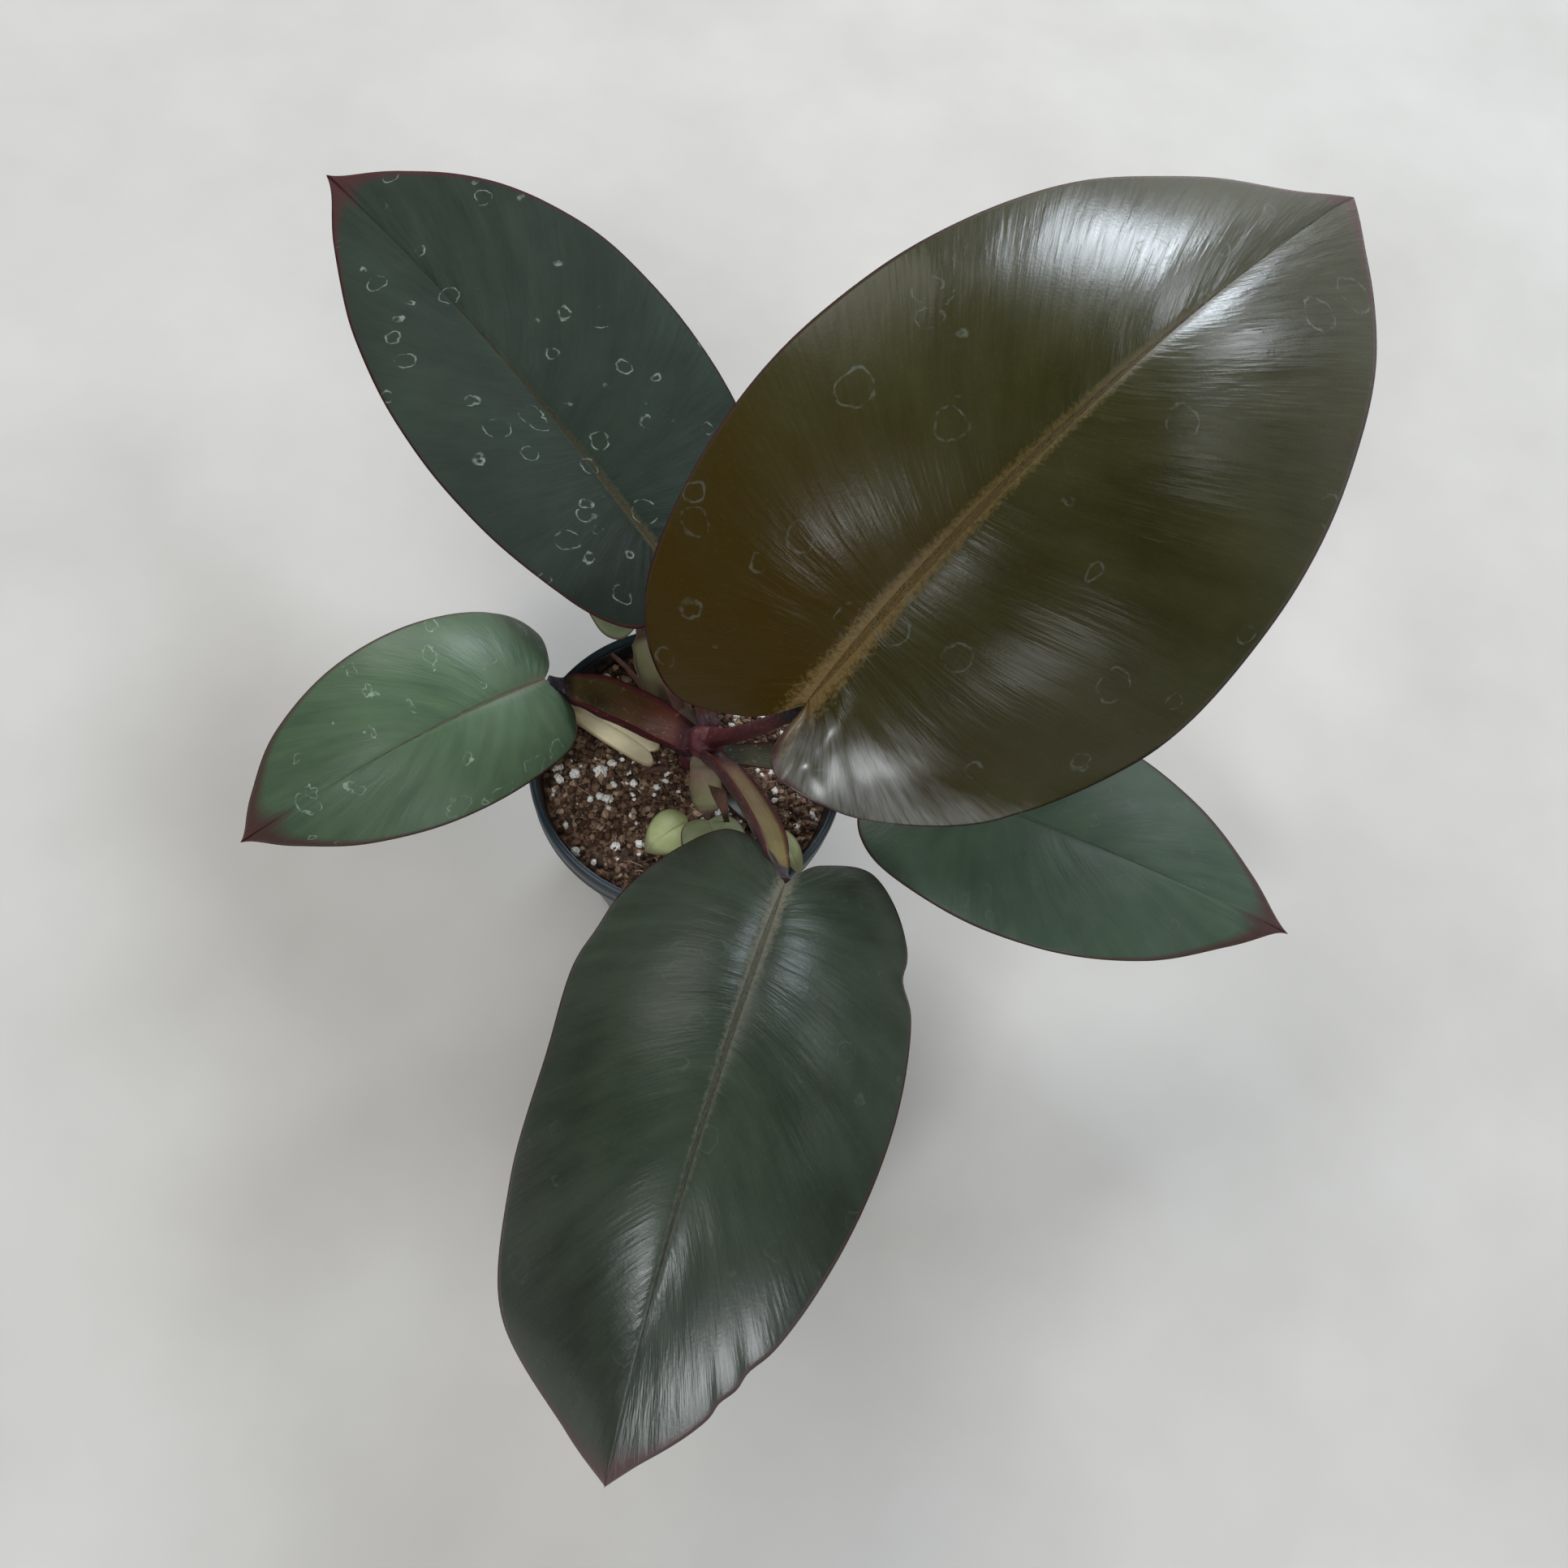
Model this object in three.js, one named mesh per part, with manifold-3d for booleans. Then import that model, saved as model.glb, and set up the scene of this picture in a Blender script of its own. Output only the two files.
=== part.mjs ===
// A dark-leaved philodendron in a round nursery pot, in millimetres, +Z up.
// The origin is the centre of the pot's foot.
import * as THREE from "three";
import { ParametricGeometry } from "three/addons/geometries/ParametricGeometry.js";
import { mergeVertices } from "three/addons/utils/BufferGeometryUtils.js";
import Module from "manifold-3d";

const wasm = await Module();
wasm.setup();

// ---- driving dimensions ----
const POT_HEIGHT = 85;
const POT_RIM_RADIUS = 55; // outside the rim
const POT_MOUTH_RADIUS = 52; // inside the rim
const POT_FOOT_RADIUS = 34.5;
const POT_WALL = 1.3;
const RIM_BAND = 12; // height of the stiff band under the rim
const DRAIN_HOLES = 8;
const DRAIN_RADIUS = 4;
const DRAIN_CIRCLE = 27;
const MIX_LEVEL = 75.5; // height of the potting mix at the wall
const GAP = 0.35; // clearance between touching pieces
const BLADE = 0.9; // thickness of a full-size leaf blade
const SMALL_BLADE = 0.7;
const STEM_RADIUS = 6;

// Half outline of a leaf on a unit length and width: (across, along), from the notch to the tip.
const MARGIN = [
  [0, 0],
  [0.17, -0.07],
  [0.5, -0.115],
  [0.83, -0.01],
  [1, 0.22],
  [0.97, 0.46],
  [0.78, 0.69],
  [0.45, 0.87],
  [0.12, 0.965],
  [0, 1],
];

// A leaf hangs on a midrib from base to tip, bowed towards crest. Its roll is the lean of the blade
// about the midrib at the base and at the tip, in degrees. Each half has its own width, length of
// lobe, place of the widest point, fullness near the tip, and fold: the lean of its margin. Where
// inner is 1, the lobe closes in on the stalk instead of opening out from it.
const half = (width, lobe, belly, full, fold, inner = 0) => ({ width, lobe, belly, full, fold, inner });
const BIG_LEAF = {
  base: [35, -6.5, 154],
  crest: [86, 54.5, 261],
  tip: [172, 187, 219],
  roll: [27, 1],
  left: half(73.5, 0.88, 0.01, 0.06, -9),
  right: half(93.5, 0.98, -0.02, 0.05, -18, 1),
  bends: true,
};
const FRONT_LEAF = {
  base: [41.5, -59, 140],
  crest: [30.5, -148.5, 182],
  tip: [30, -230.5, 108.5],
  roll: [1, 5],
  left: half(50.5, 1.12, 0.02, 0, -18),
  right: half(51.5, 1.04, -0.07, 0.33, -20),
};
const LEFT_LEAF = {
  base: [-49, -1.5, 124],
  crest: [-73, -37.5, 152],
  tip: [-127.5, -74, 108.5],
  roll: [-22, -24],
  left: half(29, 0.7, 0.08, -0.1, -14),
  right: half(33, 0.96, 0.15, -0.11, -14),
};
const UPPER_LEAF = {
  base: [-24.5, 53.5, 128],
  crest: [-96, 113, 146],
  tip: [-188, 191.5, 119],
  roll: [13, -12],
  left: half(50, 0.95, -0.06, -0.09, 4),
  right: half(62, 1, 0.08, -0.1, 4),
};
const RIGHT_LEAF = {
  base: [79, 6, 100],
  crest: [137, -7.5, 114],
  tip: [218, -9, 77],
  roll: [-2, 12],
  left: half(42, 1, 0.03, -0.09, -6),
  right: half(41, 1, 0.01, -0.13, -6),
};
// The old and the young little leaves round the stem.
const small = (base, crest, tip, width, fold, roll = 0) => ({
  base,
  crest,
  tip,
  roll: [roll, roll],
  left: half(width, 0.8, 0, 0, fold),
  right: half(width, 0.8, 0, 0, fold),
});
const SMALL_BACK_LEAF = small([-27, 37, 109], [-40, 58, 120], [-58, 82, 107], 17, 8);
const SMALL_FRONT_LEAF = small([12, -19.5, 83.5], [18, -33, 98], [24, -50, 91], 11, -8);
const YELLOW_LEAF = small([-14, 2, 82], [-28, 5, 92], [-47.5, 9, 86.5], 8, 6, 12);
const ROUND_LEAF = small([5, -20, 79.5], [0, -26, 85], [-7, -35, 80], 8.5, -10);
const TINY_LEAF = small([17, -6, 79.5], [22, -10, 83], [29, -16, 79.5], 4, 10);
const RIM_LEAF = small([33, -19, 81], [40, -24, 95], [47, -34, 89], 4.5, 8);

// ---- solids ----
const UP = new THREE.Vector3(0, 0, 1);

function toSolid(geometry) {
  const merged = mergeVertices(geometry, 1e-4);
  return new wasm.Manifold(
    new wasm.Mesh({
      numProp: 3,
      vertProperties: merged.getAttribute("position").array,
      triVerts: new Uint32Array(merged.index.array),
    }),
  );
}

function fromSolid(solid) {
  const mesh = solid.getMesh();
  const geometry = new THREE.BufferGeometry();
  geometry.setAttribute("position", new THREE.BufferAttribute(mesh.vertProperties, 3));
  geometry.setIndex(new THREE.BufferAttribute(mesh.triVerts, 1));
  return geometry;
}

// Welds a surface into one closed skin, drops the empty triangles at its poles and faces it outward.
function closed(geometry) {
  geometry.deleteAttribute("normal");
  geometry.deleteAttribute("uv");
  const welded = mergeVertices(geometry, 1e-4);
  const at = welded.getAttribute("position");
  const index = welded.index.array;
  const [a, b, c] = [new THREE.Vector3(), new THREE.Vector3(), new THREE.Vector3()];
  const kept = [];
  let volume = 0;
  for (let i = 0; i < index.length; i += 3) {
    const corner = [index[i], index[i + 1], index[i + 2]];
    if (new Set(corner).size < 3) continue;
    kept.push(...corner);
    a.fromBufferAttribute(at, corner[0]);
    b.fromBufferAttribute(at, corner[1]);
    c.fromBufferAttribute(at, corner[2]);
    volume += a.dot(b.cross(c));
  }
  if (volume < 0) kept.reverse();
  welded.setIndex(kept);
  return welded;
}

// ---- leaf blades ----
// How far a soft fold of that radius has turned a sheet out, at a distance beyond its crease.
const fold = (distance, radius) => radius * Math.log(1 + Math.exp(distance / radius));

// The big leaf's right lobe flares up from a crease behind the base, and its end droops from
// another crease that follows a side vein.
const FLARE = new THREE.Vector3(-0.09, -0.44, 0.89);
const DROOP = new THREE.Vector3(0.21, 0.74, -0.64);
function bend(place, name, t, q, along, reach) {
  const clear = 1 - Math.exp(-((reach * q) ** 2) / 64);
  if (name === "right") place.addScaledVector(FLARE, 0.45 * clear * fold(266 * (0.06 - along), 3));
  place.addScaledVector(DROOP, 0.17 * fold(450 * (t - 0.81), 6));
}

function marginOf(side) {
  const points = MARGIN.map(([across, along], i) => {
    const behind = along < 0 ? along * side.lobe : along + side.belly * Math.sin(Math.PI * along);
    const fuller = i === 7 ? side.full : i === 6 || i === 8 ? side.full / 2 : 0;
    const [closer, lower] = i === 1 ? [0.13, 0.015] : i === 2 ? [0.08, -0.007] : [0, 0];
    return new THREE.Vector2(across + fuller - side.inner * closer, behind - side.inner * lower);
  });
  return new THREE.SplineCurve(points);
}

// The place and the frame of the midrib; it runs straight on behind the base, under the lobes.
function midrib(leaf, along) {
  const base = new THREE.Vector3(...leaf.base);
  const crest = new THREE.Vector3(...leaf.crest);
  const tip = new THREE.Vector3(...leaf.tip);
  const curve = new THREE.QuadraticBezierCurve3(base, crest, tip);
  const s = Math.max(along, 0);
  const place = curve.getPoint(s);
  const start = crest.clone().sub(base).multiplyScalar(2);
  if (along < 0) place.addScaledVector(start, along);
  const end = tip.clone().sub(crest).multiplyScalar(2);
  const forward = start.lerp(end, s).normalize();
  const side = forward.clone().cross(UP).normalize();
  const up = side.clone().cross(forward);
  const roll = THREE.MathUtils.degToRad(leaf.roll[0] + (leaf.roll[1] - leaf.roll[0]) * Math.min(s, 1));
  const lateral = side.clone().multiplyScalar(Math.cos(roll)).addScaledVector(up, -Math.sin(roll));
  const normal = up.multiplyScalar(Math.cos(roll)).addScaledVector(side, Math.sin(roll));
  return { place, lateral, normal };
}

// A closed blade: the top runs from the left margin to the right one, and the underside comes back.
// Each row follows a side vein from the midrib to the margin. The underside's cells are split
// along the same lines as the top's, so that the blade keeps its thickness where it twists.
function blade(leaf, thickness, rows, cells) {
  const margins = { left: marginOf(leaf.left), right: marginOf(leaf.right) };
  const surface = (u, t, target) => {
    const x = u < 0.5 ? 4 * u - 1 : 3 - 4 * u;
    const q = Math.abs(x);
    const name = x < 0 ? "left" : "right";
    const side = leaf[name];
    const edge = margins[name].getPoint(t);
    const origin = t ** 2.2;
    const reach = edge.x * side.width;
    const along = origin + (edge.y - origin) * q ** 1.35;
    const { place, lateral, normal } = midrib(leaf, along);
    const lean = reach * Math.tan(THREE.MathUtils.degToRad(side.fold)) * q ** 1.7;
    const swell = 0.2 * reach * q * (1 - q);
    const skin = 0.5 * thickness * (1 - q ** 4) * Math.min(1, 4 * Math.sin(Math.PI * t));
    const height = lean + swell + (u < 0.5 ? skin : -skin);
    target.copy(place).addScaledVector(lateral, Math.sign(x) * reach * q).addScaledVector(normal, height);
    if (leaf.bends) bend(target, name, t, q, along, reach);
  };
  const geometry = new ParametricGeometry(surface, 4 * cells, rows);
  const index = geometry.index.array;
  for (let row = 0; row < rows; row += 1) {
    for (let cell = 2 * cells; cell < 4 * cells; cell += 1) {
      const first = 6 * (4 * cells * row + cell);
      const [a, b, d, , c] = index.slice(first, first + 5);
      index.set([a, b, c, a, c, d], first);
    }
  }
  return closed(geometry);
}

// ---- leaf stalks, stem and roots ----
// The table holds [place along the path, half width, depth, hollow]; a negative hollow is a round back.
function sectionAt(table, s) {
  let i = 0;
  while (i < table.length - 2 && table[i + 1][0] < s) i += 1;
  const [from, to] = [table[i], table[i + 1]];
  const k = THREE.MathUtils.clamp((s - from[0]) / (to[0] - from[0]), 0, 1);
  return from.map((value, j) => value + (to[j] - value) * k);
}

// A closed rod along a path whose section is an open channel; the channel opens towards above.
function rod(points, table, { steps = 10, sides = 12, roll = 0, grow = 0, above = UP } = {}) {
  const path = new THREE.CatmullRomCurve3(points.map((p) => new THREE.Vector3(...p)));
  const surface = (u, v, target) => {
    const row = v * (steps + 2) - 1;
    const s = THREE.MathUtils.clamp(row / steps, 0, 1);
    const [, width, depth, hollow] = sectionAt(table, s);
    const place = path.getPoint(s);
    const forward = path.getTangent(s);
    if (row < 0) place.addScaledVector(forward, -grow);
    if (row > steps) place.addScaledVector(forward, grow);
    const side = forward.clone().cross(above).normalize();
    const up = side.clone().cross(forward).applyAxisAngle(forward, roll);
    side.applyAxisAngle(forward, roll);
    target.copy(place);
    if (row < -0.5 || row > steps + 0.5) return;
    const angle = u < 0.5 ? 2 * Math.PI * u : 2 * Math.PI * (1 - u);
    const drop = u < 0.5 ? depth + grow : Math.min(hollow - grow, depth - 0.8);
    target.addScaledVector(side, (width + grow) * Math.cos(angle));
    target.addScaledVector(up, -drop * Math.sin(angle));
  };
  return closed(new ParametricGeometry(surface, sides, steps + 2));
}

const round = (start, end) => [
  [0, start, start, -start],
  [1, end, end, -end],
];

// A winged stalk: a clasping base, an open channel and a round neck under the blade.
const winged = (width, neck) => [
  [0, 0.75 * width, 0.6 * width, -0.1 * width],
  [0.18, width, 0.8 * width, 0.35 * width],
  [0.5, width, 0.85 * width, 0.5 * width],
  [0.8, 0.8 * width, 0.7 * width, 0.4 * width],
  [0.92, neck + 0.8, neck + 0.6, 0],
  [1, neck, neck, -neck],
];

const STEM_PATH = [
  [3, 7, 58],
  [3, 7, 74],
  [4, 4, 88],
  [6, 2, 103],
];
const STEM_TABLE = [
  [0, 5, 5, -5],
  [0.4, STEM_RADIUS + 1, STEM_RADIUS + 1, -STEM_RADIUS - 1],
  [0.85, STEM_RADIUS, STEM_RADIUS, -STEM_RADIUS],
  [1, 4, 4, -4],
];
const BEHIND = new THREE.Vector3(0, 1, 0);
const stem = (grow) => rod(STEM_PATH, STEM_TABLE, { steps: 9, sides: 12, grow, above: BEHIND });

const STALKS = {
  big_leaf_stalk: {
    leaf: BIG_LEAF,
    path: [
      [7, 6, 98],
      [17, -1, 115],
      [25, -4, 133],
      [34.5, -6, 151.9],
    ],
    table: [
      [0, 3.6, 3.4, -3],
      [0.3, 2.6, 2.6, -2.2],
      [0.8, 2.3, 2.3, -2.3],
      [0.92, 3, 3, -3],
      [1, 2.2, 2.2, -2.2],
    ],
  },
  front_leaf_stalk: {
    leaf: FRONT_LEAF,
    path: [
      [9, 1, 95],
      [20, -12, 109],
      [34, -37, 128],
      [41.2, -58.4, 137.6],
    ],
    table: winged(6.8, 2.5),
    roll: 0.45,
  },
  left_leaf_stalk: {
    leaf: LEFT_LEAF,
    path: [
      [1, 3, 96],
      [-14, 5, 103],
      [-33, 3, 115],
      [-48, -1.2, 121.7],
    ],
    table: winged(9, 2.4),
  },
  upper_leaf_stalk: {
    leaf: UPPER_LEAF,
    path: [
      [6, 9.5, 93],
      [-1, 22, 104],
      [-13, 39, 118],
      [-23.8, 52.5, 125.8],
    ],
    table: winged(5, 2.3),
  },
  right_leaf_stalk: {
    leaf: RIGHT_LEAF,
    path: [
      [9, 5, 87],
      [26, 6, 92],
      [55, 7, 97],
      [77.8, 6, 97.9],
    ],
    table: winged(5.2, 2.3),
  },
  small_back_leaf_stalk: {
    leaf: SMALL_BACK_LEAF,
    path: [
      [0, 9, 83],
      [-10, 18, 90],
      [-20, 28, 101],
      [-26.4, 35.8, 107.6],
    ],
    table: winged(7, 1.6),
  },
  small_front_leaf_stalk: {
    leaf: SMALL_FRONT_LEAF,
    path: [
      [5, -2, 94],
      [7.5, -8, 92],
      [10, -14, 88],
      [11.6, -18.2, 83],
    ],
    table: winged(5.6, 1.3),
  },
};

// Each stalk gives way to the stem, to its blade and to the stalks made before it.
const stalkSolids = {};
let taken = toSolid(stem(1.5 * GAP));
for (const [name, { path, table, roll, leaf }] of Object.entries(STALKS)) {
  const clearance = toSolid(blade(leaf, BLADE + 5 * GAP, 14, 4));
  stalkSolids[name] = toSolid(rod(path, table, { roll })).subtract(taken).subtract(clearance);
  taken = taken.add(toSolid(rod(path, table, { roll, grow: 2 * GAP })));
}
// A cut can leave a sliver on the far side of the stem: only the largest piece is the stalk.
const largest = (solid) => solid.decompose().sort((p, q) => q.volume() - p.volume())[0];

const ROOT_ENDS = [
  [29, 12, 16],
  [8, 34, 26],
  [-25, 17, 12],
  [-26, -21, 28],
  [11, -31, 10],
];
function roots(grow) {
  const crown = new THREE.IcosahedronGeometry(5.4 + grow, 1).translate(3, 7, 52.3);
  let solid = toSolid(closed(crown));
  for (const [x, y, z] of ROOT_ENDS) {
    const path = [
      [3, 7, 52],
      [3 + 0.45 * x, 7 + 0.45 * y, 46 - 0.1 * z],
      [x, y, z],
    ];
    const root = rod(path, round(2.2, 1), { steps: 5, sides: 6, grow });
    solid = solid.add(toSolid(root));
  }
  return solid;
}

// ---- pot and potting mix ----
const lathe = (profile, segments) =>
  closed(new THREE.LatheGeometry(profile.map(([r, z]) => new THREE.Vector2(r, z)), segments).rotateX(Math.PI / 2));

const bandFoot = POT_HEIGHT - RIM_BAND;
const bodyTop = POT_RIM_RADIUS - 4;
let pot = toSolid(
  lathe(
    [
      [0, 0],
      [POT_FOOT_RADIUS - 1, 0],
      [POT_FOOT_RADIUS, 1],
      [bodyTop, bandFoot],
      [POT_RIM_RADIUS - 1, bandFoot + 0.6],
      [POT_RIM_RADIUS, POT_HEIGHT - 1.2],
      [POT_RIM_RADIUS - 0.8, POT_HEIGHT],
      [POT_MOUTH_RADIUS + 0.5, POT_HEIGHT],
      [POT_MOUTH_RADIUS, POT_HEIGHT - 0.8],
      [bodyTop - POT_WALL, bandFoot],
      [POT_FOOT_RADIUS - POT_WALL, 2.6],
      [POT_FOOT_RADIUS - POT_WALL - 1, 1.8],
      [0, 1.8],
    ],
    48,
  ),
);
for (let i = 0; i < DRAIN_HOLES; i += 1) {
  const angle = (2 * Math.PI * i) / DRAIN_HOLES;
  const hole = new THREE.CylinderGeometry(DRAIN_RADIUS, DRAIN_RADIUS, 12, 10).rotateX(Math.PI / 2);
  hole.translate(DRAIN_CIRCLE * Math.cos(angle), DRAIN_CIRCLE * Math.sin(angle), 0);
  pot = pot.subtract(toSolid(closed(hole)));
}

// Lumps of perlite: [x, y, size, stretch].
const PERLITE = [
  [-29, -7.5, 2.2, 1.25],
  [-37.5, -10.5, 1.9, 1],
  [-26, -3.5, 1.5, 1.1],
  [-17, -34, 1.8, 1],
  [-24, -17, 1.5, 1.3],
  [-42, -14, 1.6, 0.9],
];
const lump = ([x, y, size, stretch], grow) =>
  closed(
    new THREE.IcosahedronGeometry(1, 1)
      .scale(size + grow, size * stretch + grow, 0.8 * size + grow)
      .rotateZ(x)
      .translate(x, y, MIX_LEVEL + 1),
  );

const mixRadius = bodyTop - POT_WALL - GAP;
const mixFoot = POT_FOOT_RADIUS - POT_WALL - GAP - 0.2;
let mix = toSolid(
  lathe(
    [
      [0, 2.3],
      [mixFoot - 1.2, 2.3],
      [mixFoot, 3.4],
      [mixRadius - 0.1, bandFoot],
      [mixRadius, MIX_LEVEL - 1.2],
      [mixRadius - 3, MIX_LEVEL],
      [30, MIX_LEVEL + 0.4],
      [14, MIX_LEVEL + 1],
      [0, MIX_LEVEL + 1.3],
    ],
    40,
  ),
);
mix = mix.subtract(toSolid(stem(GAP))).subtract(roots(GAP));
for (const each of PERLITE) mix = mix.subtract(toSolid(lump(each, GAP)));

// ---- the plant in its pot ----
const plant = new THREE.Group();
function add(name, geometry, color, roughness) {
  const material = new THREE.MeshStandardMaterial({ color, roughness, metalness: 0 });
  const mesh = new THREE.Mesh(geometry, material);
  mesh.name = name;
  plant.add(mesh);
}

add("pot", fromSolid(pot), 0x1f2930, 0.5);
add("potting_mix", fromSolid(mix), 0x3d2a20, 0.95);
add("roots", fromSolid(roots(0)), 0xd9c9a4, 0.8);
add("stem", stem(0), 0x5b2636, 0.45);

const GREENS = {
  big_leaf_blade: [BIG_LEAF, 0x3a2f14, 0.25],
  front_leaf_blade: [FRONT_LEAF, 0x1f2b22, 0.3],
  left_leaf_blade: [LEFT_LEAF, 0x2f4530, 0.35],
  upper_leaf_blade: [UPPER_LEAF, 0x22332a, 0.35],
  right_leaf_blade: [RIGHT_LEAF, 0x34493a, 0.35],
};
for (const [name, [leaf, color, roughness]] of Object.entries(GREENS)) {
  add(name, blade(leaf, BLADE, 14, 4), color, roughness);
}
const LITTLE = {
  small_back_leaf_blade: [SMALL_BACK_LEAF, 0x2b4029],
  small_front_leaf_blade: [SMALL_FRONT_LEAF, 0x5f7d4c],
  yellow_leaf: [YELLOW_LEAF, 0x9b8a4e],
  round_leaf: [ROUND_LEAF, 0x84934a],
  tiny_leaf: [TINY_LEAF, 0x33472a],
  rim_leaf: [RIM_LEAF, 0x8ea27a],
};
for (const [name, [leaf, color]] of Object.entries(LITTLE)) {
  add(name, blade(leaf, SMALL_BLADE, 9, 3), color, 0.5);
}
for (const [name, solid] of Object.entries(stalkSolids)) {
  add(name, fromSolid(largest(solid)), name.startsWith("small") ? 0x7f8f5a : 0x55222c, 0.35);
}
const DRY_STALK = [
  [-6, -1.5, 78.6],
  [-10, -2.5, 78.8],
  [-14, -5, 78.8],
  [-18.5, -9, 78.2],
];
const OLD_STALK = [
  [-8, 12, 79.5],
  [-17, 20, 82.5],
  [-27, 29, 85],
  [-36, 35.5, 84],
];
add("dry_stalk", rod(DRY_STALK, round(1.1, 0.8), { steps: 6, sides: 8 }), 0x5c3d33, 0.7);
add("old_stalk", rod(OLD_STALK, round(1.2, 0.8), { steps: 6, sides: 8 }), 0x77545a, 0.7);
PERLITE.forEach((each, i) => add(`perlite_${i + 1}`, lump(each, 0), 0xe9e6df, 0.9));

export default plant;
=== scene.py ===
import math

import bmesh
import bpy
import numpy as np
from mathutils import Matrix, Vector


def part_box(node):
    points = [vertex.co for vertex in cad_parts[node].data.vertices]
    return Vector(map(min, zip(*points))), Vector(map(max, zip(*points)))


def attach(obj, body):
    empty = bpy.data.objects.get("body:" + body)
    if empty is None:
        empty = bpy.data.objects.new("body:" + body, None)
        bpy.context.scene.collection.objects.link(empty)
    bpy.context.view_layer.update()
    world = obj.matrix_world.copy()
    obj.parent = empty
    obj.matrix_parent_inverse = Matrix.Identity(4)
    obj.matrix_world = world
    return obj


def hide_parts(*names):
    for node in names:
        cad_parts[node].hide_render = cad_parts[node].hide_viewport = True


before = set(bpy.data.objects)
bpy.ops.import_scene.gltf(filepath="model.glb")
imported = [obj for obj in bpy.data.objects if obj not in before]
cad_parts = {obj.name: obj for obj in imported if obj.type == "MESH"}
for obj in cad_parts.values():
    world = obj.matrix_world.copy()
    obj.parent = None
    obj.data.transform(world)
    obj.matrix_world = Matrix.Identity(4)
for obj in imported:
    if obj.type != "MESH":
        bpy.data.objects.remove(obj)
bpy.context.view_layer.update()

# %% [markdown]
# # A potted philodendron
# The plant is a young dark-leaved philodendron in a round nursery pot. Five big heart-shaped
# leaves hang on stalks that all rise from one short stem, and a few little leaves stand round
# its foot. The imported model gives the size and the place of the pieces. Here each one is made
# again with the fine shape and the finish that a solid for collision doesn't need.
# Everything is in metres, with +Z up and the centre of the pot's foot at the origin.

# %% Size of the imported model
MM = 0.001

# %% [markdown]
# ## Camera and light
# The plant is looked at from above and a little in front, with the camera turned slightly about
# its own axis. A camera can be aimed with angles, but three unit vectors are easier to reason
# about: where it looks, what is right, and what is up. They form the columns of its matrix.

# %% Camera
TILT, TWIST = math.radians(26), math.radians(13)
CAMERA_PLACE = (0.0345, -0.240, 0.577)
look = Vector((0, math.sin(TILT), -math.cos(TILT)))
level_right = Vector((1, 0, 0))
level_up = Vector((0, math.cos(TILT), math.sin(TILT)))
right = math.cos(TWIST) * level_right + math.sin(TWIST) * level_up
up = math.cos(TWIST) * level_up - math.sin(TWIST) * level_right
camera_data = bpy.data.cameras.new("camera")
camera_data.sensor_width = 36
camera_data.lens = 36.1
camera = bpy.data.objects.new("camera", camera_data)
bpy.context.scene.collection.objects.link(camera)
turn = Matrix((right, up, -look)).transposed().to_4x4()
camera.matrix_world = Matrix.Translation(CAMERA_PLACE) @ turn
bpy.context.scene.camera = camera
bpy.context.scene.view_settings.view_transform = "Standard"
print("camera height, mm:", round(1000 * camera.location.z))

# %% [markdown]
# The light is that of a bright, slightly cloudy day. Two strong panels stand behind the plant, a
# wide one on its left and a smaller one, so the soft shadows fall forward. Weaker ones stand
# where the glossy leaves mirror them: behind, on the right and in front, with a low one for the
# turned-up lobe of the big leaf. The last one only fills in, and nothing mirrors it.


# %% Lights
def panel(name, place, aim, size, power, colour):
    """A square area light at a place, aimed at a point."""
    data = bpy.data.lights.new(name, "AREA")
    data.size = size
    data.energy = power
    data.color = colour
    light = bpy.data.objects.new(name, data)
    light.location = place
    light.rotation_euler = (Vector(aim) - Vector(place)).to_track_quat("-Z", "Y").to_euler()
    light.visible_camera = False
    bpy.context.scene.collection.objects.link(light)
    return light


for name, place, aim, size, power, colour in [
    ("left_sky", (-1.15, 1.35, 1.95), (0, 0, 0.1), 1.4, 38, (1, 0.985, 0.96)),
    ("back_sky", (0.42, 1.85, 1.65), (0.1, 0.1, 0.2), 0.75, 42, (0.83, 0.91, 1)),
    ("corner_sky", (1.41, 1.18, 1.84), (0.1, 0.1, 0.1), 0.6, 12, (0.88, 0.94, 1)),
    ("right_sky", (2.0, 0.0, 2.2), (0.1, 0.1, 0.1), 0.6, 5, (0.93, 0.97, 1)),
    ("front_sky", (-0.42, -1.42, 1.75), (0.03, -0.15, 0.1), 0.35, 14, (0.93, 0.97, 1)),
    ("low_sky", (1.08, -1.9, 0.68), (0.08, 0, 0.15), 0.7, 17, (0.93, 0.97, 1)),
]:
    panel(name, place, aim, size, power, colour)
fill = panel("front_fill", (0.0, -0.70, 1.52), (0, 0, 0.1), 0.6, 5, (0.98, 0.99, 1))
fill.visible_glossy = False

# %% [markdown]
# ## A small kit for materials
# Every finish is a chain of shader nodes. A few helpers keep those chains short: `finish` starts
# a material with one Principled shader, `add` puts a node in and wires its inputs, `ramp` turns
# a number between 0 and 1 into a colour, and the rest are small steps of arithmetic.


# %% Material helpers
def finish(name, colour, roughness, specular=0.5, coat_roughness=0.25):
    """A new material with one Principled shader. The fixed numbers sit on the shader itself."""
    material = bpy.data.materials.new(name)
    material.use_nodes = True
    shader = material.node_tree.nodes["Principled BSDF"]
    shader.inputs["Base Color"].default_value = (*colour, 1)
    shader.inputs["Roughness"].default_value = roughness
    shader.inputs["Specular IOR Level"].default_value = specular
    shader.inputs["Coat Roughness"].default_value = coat_roughness
    return material


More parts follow.
